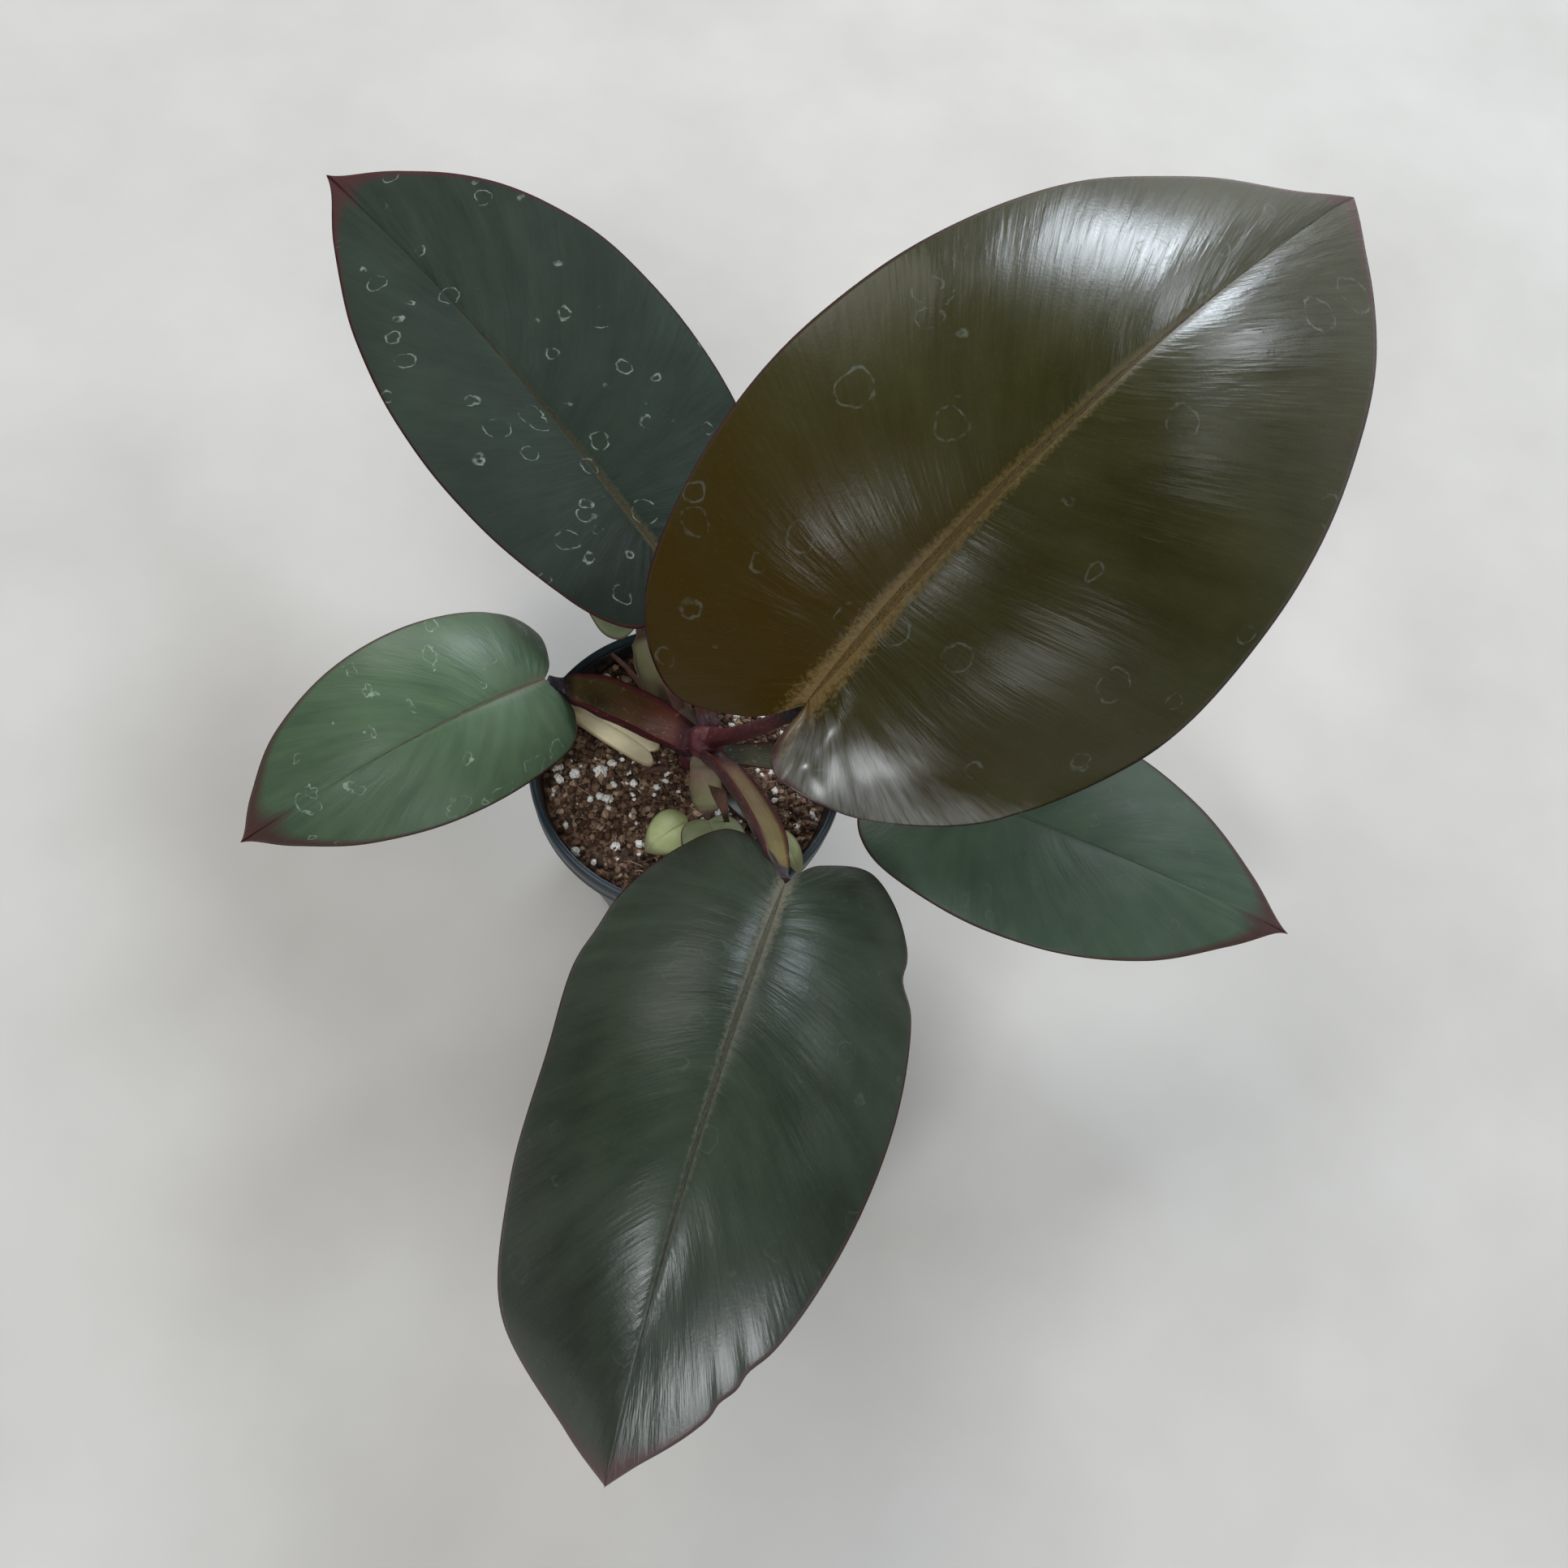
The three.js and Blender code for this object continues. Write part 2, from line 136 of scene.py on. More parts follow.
def add(material, kind, settings=None, **wires):
    """Adds a node; each wire is another node, one of its sockets, or a plain value."""
    tree = material.node_tree
    node = tree.nodes.new("ShaderNode" + kind)
    for key, value in (settings or {}).items():
        setattr(node, key, value)
    for key, value in wires.items():
        name = key.replace("_", " ").strip()
        socket = node.inputs[int(name[1:])] if name[1:].isdigit() else node.inputs[name]
        if isinstance(value, bpy.types.Node):
            value = value.outputs[0]
        if isinstance(value, bpy.types.NodeSocket):
            tree.links.new(value, socket)
        elif isinstance(value, tuple) and len(value) == 3 and socket.type == "RGBA":
            socket.default_value = (*value, 1)
        else:
            socket.default_value = value
    return node


def ramp(material, factor, stops):
    """A colour ramp over a list of (place, colour or number)."""
    node = add(material, "ValToRGB", Fac=factor)
    band = node.color_ramp
    while len(band.elements) < len(stops):
        band.elements.new(0.5)
    for element, (place, value) in zip(band.elements, stops):
        colour = value if isinstance(value, tuple) else (value, value, value)
        element.position = place
        element.color = (*colour, 1)
    return node


def sums(material, operation, first, second=0.0, third=0.0):
    """One step of arithmetic on numbers."""
    return add(material, "Math", {"operation": operation}, i0=first, i1=second, i2=third)


def times(material, first, second):
    """The product of two numbers."""
    return sums(material, "MULTIPLY", first, second)


def scaled(material, value, by, then=0.0):
    """A number multiplied by one value and then raised by another."""
    return sums(material, "MULTIPLY_ADD", value, by, then)


def step(material, factor, low, high, top=1.0):
    """Nothing below low, then rising to top at high."""
    return ramp(material, factor, [(low, 0.0), (high, top)])


def mixed(material, factor, first, second):
    """A mix of two colours."""
    return add(material, "Mix", {"data_type": "RGBA"}, i0=factor, i6=first, i7=second).outputs[2]


def shade(material, socket, value):
    """Wires a node to a socket of the Principled shader."""
    output = value.outputs[0] if isinstance(value, bpy.types.Node) else value
    shader = material.node_tree.nodes["Principled BSDF"]
    material.node_tree.links.new(output, shader.inputs[socket])


def spot_in(material):
    """The place of a point in the piece's own coordinates."""
    return add(material, "TexCoord").outputs["Object"]


def marks_in(material, *names):
    """The numbers saved on the points of the mesh, by name."""
    return {k: add(material, "Attribute", {"attribute_name": k}).outputs["Fac"] for k in names}


def grain(material, scale, detail=3.0, where=None):
    """Soft random noise, in the piece's own coordinates unless another place is given."""
    spot = where or spot_in(material)
    return add(material, "TexNoise", Vector=spot, Scale=scale, Detail=detail, Roughness=0.55)


def relief(material, height, distance, below=None):
    """A bump from a height, on top of an earlier bump if there is one."""
    node = add(material, "Bump", Height=height, Distance=distance)
    if below is not None:
        material.node_tree.links.new(below.outputs[0], node.inputs["Normal"])
    return node


# %% [markdown]
# The world is a plain dome: dim overhead and in front, as under a porch, and brighter towards
# the horizon behind. Leaves that face up then stay dark, and only their turned parts shine. A
# world has a chain of nodes too, so the same helpers build it.

# %% Dome
world = bpy.data.worlds.new("soft_daylight")
world.use_nodes = True
parts = add(world, "SeparateXYZ", Vector=add(world, "TexCoord").outputs["Generated"])
height_band = ramp(world, parts.outputs["Z"], [(0.1, (0.80, 0.81, 0.82)), (0.8, (0.03, 0.032, 0.035))])
behind = add(world, "MapRange", Value=parts.outputs["Y"], From_Min=-0.6, From_Max=0.5, To_Min=0.22)
dimmed = add(world, "VectorMath", {"operation": "SCALE"}, i0=height_band, Scale=behind)
background = world.node_tree.nodes["Background"]
background.inputs["Strength"].default_value = 0.8
world.node_tree.links.new(dimmed.outputs[0], background.inputs["Color"])
bpy.context.scene.world = world

# %% [markdown]
# The floor is a plain pale sheet. It isn't part of the object, so it is only staged.

# %% Floor
floor_mesh = bpy.data.meshes.new("floor")
floor_mesh.from_pydata([(-4, -4, 0), (4, -4, 0), (4, 4, 0), (-4, 4, 0)], [], [(0, 1, 2, 3)])
floor = bpy.data.objects.new("floor", floor_mesh)
bpy.context.scene.collection.objects.link(floor)
pale = finish("pale_floor", (0.46, 0.445, 0.42), 0.8, specular=0.2)
cloud = grain(pale, 9, 4)
shade(pale, "Base Color", ramp(pale, cloud, [(0.3, (0.43, 0.415, 0.39)), (0.7, (0.49, 0.475, 0.45))]))
floor.data.materials.append(pale)

# %% [markdown]
# ## A small kit for meshes
# Pieces are made from rows of points: a row is a ring round a stalk or a line across a leaf, and
# neighbouring rows are joined with four-sided faces. Working on whole arrays with numpy is fast
# and keeps each shape as a formula. Numbers saved on the points, such as how far along a vein a
# point lies, let the materials follow the shape later.


# %% Mesh helpers
def piece(name, points, faces, material, *, nodes=(), marks=None, smooth=True):
    """A mesh piece in metres from points in millimetres. marks are numbers kept on its points."""
    mesh = bpy.data.meshes.new(name)
    mesh.from_pydata((np.asarray(points) * MM).tolist(), [], [tuple(f) for f in faces])
    for key, values in (marks or {}).items():
        saved = mesh.attributes.new(key, "FLOAT", "POINT").data
        saved.foreach_set("value", np.asarray(values, np.float32).ravel())
    mesh.update()
    if smooth:
        mesh.shade_smooth()
    made = bpy.data.objects.new(name, mesh)
    bpy.context.scene.collection.objects.link(made)
    mesh.materials.append(material)
    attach(made, "root")
    if nodes:
        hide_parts(*nodes)
    return made


def net(rows, columns, ring=False):
    """Four-sided faces over rows of points; a ring closes each row on itself."""
    r, c = np.meshgrid(np.arange(rows - 1), np.arange(columns if ring else columns - 1), indexing="ij")
    r, c = r.ravel(), c.ravel()
    d = (c + 1) % columns
    return np.stack([r * columns + c, r * columns + d, (r + 1) * columns + d, (r + 1) * columns + c], 1)


def ripple(points, size, seed, octaves=2):
    """Smooth, repeatable waves in space between about -1 and 1, one value for each point."""
    source = np.random.default_rng(seed)
    total = np.zeros(len(points))
    for octave in range(octaves):
        for _ in range(5):
            way = source.normal(size=3)
            way *= 2 * math.pi * 2**octave / size / np.linalg.norm(way)
            total += np.sin(points @ way + source.uniform(0, 6.28)) / 2**octave
    return total / 3.2


print("kit ready")

# %% [markdown]
# ## Leaf blades
# Each blade is one curved sheet. Its midrib is a bent line from the notch to the tip, and each
# half has its own outline. A row of points follows a side vein: it leaves the midrib, swings
# forward and ends on the margin. Sculpting five leaves by hand would be slow, and a flat picture
# on a plane would show in the sides, so the sheet comes from one formula with a few numbers for
# each leaf. The fine shape is real geometry too: a soft groove along the midrib with a round rib
# below it, faint ribs along the main side veins and a gentle wave towards the margin.

# %% Shape of the five large leaves
MARGIN = np.array([
    [0, 0], [0.17, -0.07], [0.5, -0.115], [0.83, -0.01], [1, 0.22],
    [0.97, 0.46], [0.78, 0.69], [0.45, 0.87], [0.12, 0.965], [0, 1],
])
LEAVES = {
    "big_leaf": dict(
        base=(35, -6.5, 154), crest=(86, 54.5, 261), tip=(172, 187, 219), roll=(27, 1),
        left=(73.5, 0.88, 0.01, 0.06, -9), right=(93.5, 0.98, -0.02, 0.05, -18), veins=26, rib=3.4, wave=1.0,
        bends=True, inner="right",
    ),
    "front_leaf": dict(
        base=(41.5, -59, 140), crest=(30.5, -148.5, 182), tip=(30, -230.5, 108.5), roll=(1, 5),
        left=(50.5, 1.12, 0.02, 0, -18), right=(51.5, 1.04, -0.07, 0.33, -20), veins=20, rib=2.6, wave=1.3,
        dents=[(-1, 0.365, 0.055, 0.018), (-1, 0.725, 0.05, 0.014), (-1, 0.76, 0.05, 0.012),
               (1, 0.42, 0.02, 0.03)],
    ),
    "left_leaf": dict(
        base=(-49, -1.5, 124), crest=(-73, -37.5, 152), tip=(-127.5, -74, 108.5), roll=(-22, -24),
        left=(29, 0.7, 0.08, -0.1, -14), right=(33, 0.96, 0.15, -0.11, -14), veins=15, rib=1.9, wave=0.7,
    ),
    "upper_leaf": dict(
        base=(-24.5, 53.5, 128), crest=(-96, 113, 146), tip=(-188, 191.5, 119), roll=(13, -12),
        left=(50, 0.95, -0.06, -0.09, 4), right=(62, 1, 0.08, -0.1, 4), veins=20, rib=2.5, wave=0.9,
    ),
    "right_leaf": dict(
        base=(79, 6, 100), crest=(137, -7.5, 114), tip=(218, -9, 77), roll=(-2, 12),
        left=(42, 1, 0.03, -0.09, -6), right=(41, 1, 0.01, -0.13, -6), veins=17, rib=2.1, wave=0.8,
    ),
}
print("large leaves:", len(LEAVES))


# %% The margin, the midrib and the sheet between them
def margin(side, t, inner=False):
    """Half outline at t from notch to tip, as (across, along) on a leaf one unit long and wide.
    An inner lobe closes in on the stalk instead of opening out from it."""
    width, lobe, belly, full, fold = side
    corners = MARGIN.copy()
    along = corners[:, 1]
    corners[:, 1] = np.where(along < 0, along * lobe, along + belly * np.sin(np.pi * along))
    corners[6:9, 0] += np.array([full / 2, full, full / 2])
    if inner:
        corners[1:3] -= np.array([[0.13, 0.015], [0.08, -0.007]])
    last = len(corners) - 1
    spot = np.clip(t, 0, 1) * last
    i = np.minimum(spot.astype(int), last - 1)
    w = (spot - i)[:, None]
    a, b, c, d = (corners[np.clip(i + k, 0, last)] for k in (-1, 0, 1, 2))
    lead, trail = (c - a) / 2, (d - b) / 2
    return (2 * b - 2 * c + lead + trail) * w**3 + (3 * c - 3 * b - 2 * lead - trail) * w**2 + lead * w + b


def midrib(leaf, along):
    """Place, sideways direction and normal of the midrib; it runs straight on behind the notch."""
    base, crest, tip = (np.array(leaf[k], float) for k in ("base", "crest", "tip"))
    s = np.maximum(along, 0)[:, None]
    place = (1 - s) ** 2 * base + 2 * s * (1 - s) * crest + s**2 * tip
    place = place + np.minimum(along, 0)[:, None] * 2 * (crest - base)
    forward = 2 * (crest - base) * (1 - s) + 2 * (tip - crest) * s
    forward /= np.linalg.norm(forward, axis=1)[:, None]
    side = np.cross(forward, [0, 0, 1])
    side /= np.linalg.norm(side, axis=1)[:, None]
    above = np.cross(side, forward)
    roll = np.radians(leaf["roll"][0] + (leaf["roll"][1] - leaf["roll"][0]) * np.minimum(s, 1))
    lateral = np.cos(roll) * side - np.sin(roll) * above
    normal = np.cos(roll) * above + np.sin(roll) * side
    return place, lateral, normal


def sheet_of(leaf, x, t):
    """The middle of the sheet. x runs from -1, the left margin, over 0, the midrib, to 1."""
    q = np.abs(x)
    reach, along = np.zeros_like(x), np.zeros_like(x)
    lean = np.zeros_like(x)
    for sign, name in ((-1, "left"), (1, "right")):
        half = (x < 0) if sign < 0 else (x >= 0)
        edge = margin(leaf[name], t[half], leaf.get("inner") == name)
        origin = t[half] ** 2.2
        reach[half] = edge[:, 0] * leaf[name][0]
        along[half] = origin + (edge[:, 1] - origin) * q[half] ** 1.35
        lean[half] = reach[half] * math.tan(math.radians(leaf[name][4])) * q[half] ** 1.7
    for sign, where, depth, spread in leaf.get("dents", ()):
        hit = (np.sign(x) == sign) * np.exp(-(((t - where) / spread) ** 2))
        reach = reach * (1 - depth * hit * q**2)
    place, lateral, normal = midrib(leaf, along)
    place = place + (np.sign(x) * reach * q)[:, None] * lateral
    if leaf.get("bends"):
        place = place + bend(x, t, along, reach)
    return place, normal, lean + 0.2 * reach * q * (1 - q), reach, along


def fold(distance, radius):
    """How far a soft fold of that radius has turned a sheet out, at a distance beyond its crease."""
    return radius * np.log1p(np.exp(distance / radius))


def bend(x, t, along, reach):
    """The right lobe of the big leaf flares up behind a crease, and its end droops past another."""
    lobe_crease, end_crease = 0.06, 0.81
    midrib_length, margin_length = 266, 450  # mm
    clear_of_midrib = 1 - np.exp(-((reach * x) ** 2) / 64)
    flare = 0.45 * clear_of_midrib * fold(midrib_length * (lobe_crease - along), 3) * (x >= 0)
    droop = 0.17 * fold(margin_length * (t - end_crease), 3)
    flare_way, droop_way = np.array([-0.09, -0.44, 0.89]), np.array([0.21, 0.74, -0.64])
    return flare[:, None] * flare_way + droop[:, None] * droop_way


def blade_grid(rows, cells):
    """x and t over a blade, denser near the midrib and the margins."""
    q = np.linspace(0, 1, cells + 1)
    q = q - 0.045 * np.sin(2 * np.pi * q)
    across = np.concatenate([-q[:0:-1], q])
    down = np.linspace(0, 1, rows + 1)
    t, x = np.meshgrid(down, across, indexing="ij")
    return x, t


# %% [markdown]
# The top and the underside start as the same sheet, pushed apart along its normal by half the
# thickness and joined at the margin. Both sides then get their own relief.


# %% Building one blade
def blade(name, leaf, material, nodes, rows, cells, thickness=0.9, shape=None):
    """One closed blade with relief. shape may bend the sheet by a further height."""
    x, t = blade_grid(rows, cells)
    wide = x.shape[1]
    x, t = x.ravel(), t.ravel()
    q = np.abs(x)
    place, normal, height, reach, along = sheet_of(leaf, x, t)
    off = reach * q  # distance from the midrib, mm
    width = leaf["rib"]
    taper = np.clip(1.05 - along, 0.12, 1)
    groove = -0.16 * width * np.exp(-((off / (width * taper)) ** 2)) * taper
    rib = -0.4 * width * np.exp(-((off / (0.62 * width * taper)) ** 2)) * taper
    rib = rib * np.clip(along * 14 + 0.6, 0, 1)
    lines = np.cos(2 * np.pi * leaf["veins"] * t**0.9 + 0.6 * np.sign(x))
    fade = np.minimum(1, 6 * q) * np.minimum(1, 5 * (1 - q))
    fade = fade * np.minimum(1, 8 * t) * np.minimum(1, 8 * (1 - t))
    veins = 0.018 * width * lines * fade
    wave = leaf["wave"] * ripple(place, 75, 5 + len(name)) * q**3
    if shape is not None:
        wave = wave + shape(x, t, off)
    skin = 0.5 * thickness * np.sqrt(np.clip(1 - q**8, 0, 1)) * np.minimum(1, 6 * np.sin(np.pi * t))
    top = place + (height + wave + groove + veins + skin)[:, None] * normal
    under = place + (height + wave + groove + rib + 1.3 * veins - skin)[:, None] * normal
    count = len(x)
    edge = (q > 0.9999) | (t < 1e-6) | (t > 1 - 1e-6)
    under[edge] = top[edge]
    swap = np.arange(count) + count
    swap[edge] = np.arange(count)[edge]
    faces = net(rows + 1, wide)
    points = np.concatenate([top, under])
    quads = np.concatenate([faces[:, ::-1], swap[faces]])
    points, quads, keep = welded(points, quads)
    both = {"vein": t, "out": q, "off": off, "along": along, "half": np.sign(x), "rim": reach - off}
    marks = {key: np.concatenate([values, values])[keep] for key, values in both.items()}
    marks["under"] = np.concatenate([np.zeros(count), np.ones(count)])[keep]
    made = piece(name, points, quads, material, nodes=nodes, marks=marks)
    length = np.linalg.norm(np.array(leaf["tip"]) - leaf["base"])
    print(name, "points:", len(points), "length, mm:", round(float(length)))
    return made


def welded(points, faces):
    """Joins points at the same place and drops faces that have shrunk to nothing."""
    key = np.round(points, 4)
    _, first, back = np.unique(key, axis=0, return_index=True, return_inverse=True)
    back = back.ravel()
    order = np.argsort(np.argsort(first))
    keep = np.sort(first)
    faces = order[back[faces]]
    kept = []
    for face in faces.tolist():
        corners = [c for i, c in enumerate(face) if c != face[i - 1]]
        if len(set(corners)) == len(corners) and len(corners) > 2:
            kept.append(corners)
    return points[keep], kept, keep


# %% [markdown]
# ## Leaf finish
# A waxy leaf is a dark green or bronze colour under a thin clear skin. Hundreds of fine veins
# run side by side, so the skin is brushed along them and its highlights break into streaks. The
# noise that makes those streaks is stretched along the veins: its coordinates are the place
# along the margin, which changes fast across the veins, and the distance out from the midrib,
# which changes slowly. Dried water leaves pale rings, which are cells of a Voronoi pattern seen
# only near one distance from their centres.


# %% One leaf finish, made in several colours
def leaf_finish(name, body, deep, rib_colour, under, *, shine=0.3, gloss=0.4, tip_gloss=None, streak=1.0,
                rings=0.0, ring_size=95.0, ring_tone=(0.13, 0.15, 0.13), wander=0.006, dust=0.3,
                rib_width=2.6, rib_show=0.75, rim=(0.05, 0.012, 0.014), lobe=None, tipped=None,
                polished_with_painted_sheen=False, fine=230.0, seed=0.0):
    """Waxy leaf: body and deep are its two tones, lobe is painted light over the base of its left half
    (a painted glow on the bronze leaf, painted shade on the upper one), tipped tints its tip, tip_gloss is
    its gloss near the tip. A polished leaf has a glassy skin on the turned-up lobe of its right half,
    with pale streaks painted on it as painted sheen."""
    m = finish(name, body, shine, specular=gloss)
    mark = marks_in(m, "vein", "out", "off", "along", "half", "under", "rim")
    spot = spot_in(m)
    seeded = scaled(m, mark["half"], 17.0, seed)

    def brushed(across, outward, detail, rough):
        """Noise drawn out along the veins."""
        wide, long = times(m, mark["vein"], across), times(m, mark["out"], outward)
        lined = add(m, "CombineXYZ", X=wide, Y=long, Z=seeded)
        return add(m, "TexNoise", Vector=lined, Scale=1.0, Detail=detail, Roughness=rough)

    lines = brushed(fine, 3.2, 2.0, 0.6)
    bands = brushed(fine / 7, 2.0, 3.0, 0.55)
    # body colour: two tones in bands along the veins and in soft clouds
    clouds = grain(m, 22, 4, spot)
    tone = sums(m, "ADD", times(m, bands, 0.45), times(m, clouds, 0.55))
    colour = ramp(m, tone, [(0.36, deep), (0.64, body)]).outputs[0]
    # lobe: painted light over the base of the left half, a painted glow of light through the bronze leaf and
    # painted shade on the upper leaf
    if lobe is not None:
        painted_lobe_fade = step(m, sums(m, "ADD", mark["along"], scaled(m, clouds, 0.4, -0.2)), 0.0, 0.42)
        side = ramp(m, scaled(m, mark["half"], -0.5, 0.5), [(0.3, 0.3), (0.7, 1.0)])
        colour = mixed(m, times(m, sums(m, "SUBTRACT", 1.0, painted_lobe_fade), side), colour, lobe)
    # fine pale flecks between the veins
    flecks = grain(m, 900, 2, spot)
    colour = mixed(m, step(m, flecks, 0.55, 0.8, 0.07), colour, rib_colour)
    # speckled midrib band, narrowing towards the tip
    taper = times(m, ramp(m, mark["along"], [(0.0, 1.0), (0.3, 0.62), (0.9, 0.16)]), rib_width)
    closeness = sums(m, "DIVIDE", mark["off"], taper)
    frayed = sums(m, "ADD", closeness, scaled(m, grain(m, 800, 3, spot), 1.6, -0.8))
    band = ramp(m, frayed, [(0.35, 1.0), (1.25, 0.0)])
    shown = [(0.0, rib_show), (0.25, 0.55 * rib_show), (0.6, 0.28 * rib_show), (0.85, 0.0)]
    colour = mixed(m, times(m, band, ramp(m, mark["along"], shown)), colour, rib_colour)
    if tipped is not None:
        near = step(m, scaled(m, clouds, 0.02, mark["along"]), 0.95, 1.0, 0.8)
        colour = mixed(m, near, colour, tipped)
    # dried water: thin wavy rings round scattered spots
    sway = grain(m, 110, 3, spot).outputs["Color"]
    bent = add(m, "VectorMath", {"operation": "MULTIPLY_ADD"}, i0=sway, i2=spot)
    bent.inputs[1].default_value = (wander,) * 3
    cells = add(m, "TexVoronoi", {"feature": "F1"}, Vector=bent, Scale=ring_size)
    dice = add(m, "SeparateColor", Color=cells.outputs["Color"])
    size = scaled(m, dice.outputs[1], 0.26, 0.12)
    gap = sums(m, "ABSOLUTE", sums(m, "SUBTRACT", cells.outputs["Distance"], size))
    outline = ramp(m, gap, [(0.008, 1.0), (0.03, 0.0)])
    chosen = step(m, dice.outputs[0], 0.45, 0.5)
    broken = step(m, grain(m, 260, 2, spot), 0.40, 0.62)
    marks = times(m, times(m, outline, chosen), times(m, broken, rings))
    colour = mixed(m, marks, colour, ring_tone)
    # thin dust, thicker in clouds
    colour = mixed(m, step(m, grain(m, 40, 5, spot), 0.45, 0.75, 0.10 * dust), colour, (0.30, 0.32, 0.30))
    if tip_gloss is not None:
        shade(m, "Specular IOR Level", ramp(m, mark["along"], [(0.5, gloss), (0.75, tip_gloss)]))
    if polished_with_painted_sheen:
        behind = sums(m, "ADD", scaled(m, mark["along"], -7.0, 0.42), scaled(m, bands, 1.2, -0.6))
        turned_up = times(m, step(m, behind, 0.2, 0.75), step(m, mark["half"], 0.1, 0.9))
        turned_up = times(m, turned_up, step(m, mark["out"], 0.12, 0.3))
        # painted sheen: pale streaks mixed into the colour of the turned-up lobe stand in for its highlight
        painted_sheen_streaks = times(m, turned_up, ramp(m, lines, [(0.3, 0.25), (0.62, 1.0)]))
        colour = mixed(m, times(m, painted_sheen_streaks, 0.3), colour, (0.34, 0.35, 0.35))
        shade(m, "Coat Weight", turned_up)
    # dark red margin
    line = ramp(m, mark["rim"], [(0.3, 1.0), (0.95, 0.0)])
    colour = mixed(m, times(m, line, 0.8), colour, rim)
    # the underside is paler and matt
    colour = mixed(m, mark["under"], colour, mixed(m, tone, under, body))
    shade(m, "Base Color", colour)
    rough = scaled(m, lines, 0.24, shine - 0.12)
    rough = scaled(m, clouds, 0.20, sums(m, "SUBTRACT", rough, 0.10))
    for part, more in ((band, 0.16), (marks, 0.3), (mark["under"], 0.18)):
        rough = scaled(m, part, more, rough)
    shade(m, "Roughness", rough)
    hills = relief(m, bands, 0.0006 * streak)
    threads = relief(m, lines, 0.00014 * streak, below=hills)
    shade(m, "Normal", relief(m, flecks, 0.00004, below=threads))
    return m


# %% [markdown]
# The biggest leaf is bronze, the others are green or nearly black and dustier, and the upper and
# left ones have the most water marks. The four colours are the two tones of the body, the midrib
# and the underside.

# %% Finishes of the large leaves
# The bronze leaf's lobe colour is a painted glow of light through its base, and its turned-up lobe carries
# painted sheen.
bronze = leaf_finish(
    "bronze_leaf", (0.035, 0.034, 0.012), (0.020, 0.019, 0.005), (0.155, 0.100, 0.035), (0.16, 0.07, 0.05),
    shine=0.31, gloss=0.14, tip_gloss=0.65, rings=0.35, ring_size=60, dust=0.05, rib_width=6.5, rib_show=0.95,
    lobe=(0.038, 0.022, 0.002), polished_with_painted_sheen=True, seed=1.0)
blackish = leaf_finish(
    "front_leaf", (0.028, 0.038, 0.025), (0.015, 0.021, 0.013), (0.12, 0.11, 0.08), (0.12, 0.07, 0.06),
    shine=0.32, gloss=0.12, tip_gloss=0.6, streak=0.7, rings=0.12, dust=0.15, rib_width=3.8,
    tipped=(0.05, 0.02, 0.018), seed=3.0)
# The upper leaf's lobe colour is painted shade over its base.
deep_green = leaf_finish(
    "upper_leaf", (0.017, 0.029, 0.019), (0.009, 0.015, 0.010), (0.066, 0.052, 0.026), (0.10, 0.10, 0.07),
    shine=0.55, gloss=0.08, streak=0.5, rings=1.0, ring_size=85, ring_tone=(0.15, 0.18, 0.15), dust=0.15,
    rib_width=2.8, rib_show=0.7, lobe=(0.009, 0.014, 0.009), tipped=(0.07, 0.04, 0.03), seed=5.0)
mid_green = leaf_finish(
    "left_leaf", (0.064, 0.107, 0.056), (0.037, 0.065, 0.036), (0.10, 0.08, 0.05), (0.12, 0.14, 0.08),
    shine=0.42, gloss=0.3, streak=0.5, rings=0.7, ring_tone=(0.26, 0.32, 0.26), wander=0.016, rib_width=1.9,
    rib_show=0.8, tipped=(0.14, 0.055, 0.03), seed=7.0)
grey_green = leaf_finish(
    "right_leaf", (0.048, 0.078, 0.048), (0.031, 0.052, 0.034), (0.08, 0.10, 0.07), (0.12, 0.13, 0.08),
    shine=0.44, gloss=0.3, streak=0.5, rings=0.2, dust=0.6, rib_width=1.6, rib_show=0.5,
    tipped=(0.09, 0.04, 0.03), seed=9.0)
print("leaf finishes ready")


# %% [markdown]
# A bigger blade gets more rows and cells, so that its veins stay smooth. One lobe of the big
# leaf also rolls its margin up, which is added as a height on top of the sheet.


# %% The five large blades
def glassy_lip(x, t, off):
    """The inner margin of the big leaf's right lobe rolls up into a narrow lip."""
    reach = off / np.maximum(np.abs(x), 0.02)
    strip = np.clip(1 - (reach - off) / 8, 0, 1)
    span = np.clip(t / 0.04, 0, 1) * np.clip((0.19 - t) / 0.05, 0, 1) * (x > 0)
    return span * (3.2 * strip**2 - 1.5 * np.sin(np.pi * strip) + 0.5 * np.sin(t * 110) * strip)


# rows along a blade and cells across half of it; the big leaf also has its lip
for name, skin, slot, rows, cells, shape in [
    ("big_leaf", bronze, "bronze_leaf", 210, 44, glassy_lip),
    ("front_leaf", blackish, "dark_leaf", 180, 38, None),
    ("left_leaf", mid_green, "green_leaf", 150, 34, None),
    ("upper_leaf", deep_green, "dark_leaf", 180, 38, None),
    ("right_leaf", grey_green, "green_leaf", 150, 34, None),
]:
    blade(name, LEAVES[name], skin, [name + "_blade"], rows, cells, shape=shape)

# %% [markdown]
# ## The little leaves
# Young and old little leaves stand round the stem. They use the same sheet with fewer rows, a
# thinner blade and softer, yellower finishes.


# %% Little leaves
def little(base, crest, tip, width, fold, roll=0):
    """The numbers of a small, even leaf."""
    half = (width, 0.8, 0, 0, fold)
    return dict(base=base, crest=crest, tip=tip, roll=(roll, roll), left=half, right=half,
                veins=7, rib=0.8, wave=0.6)


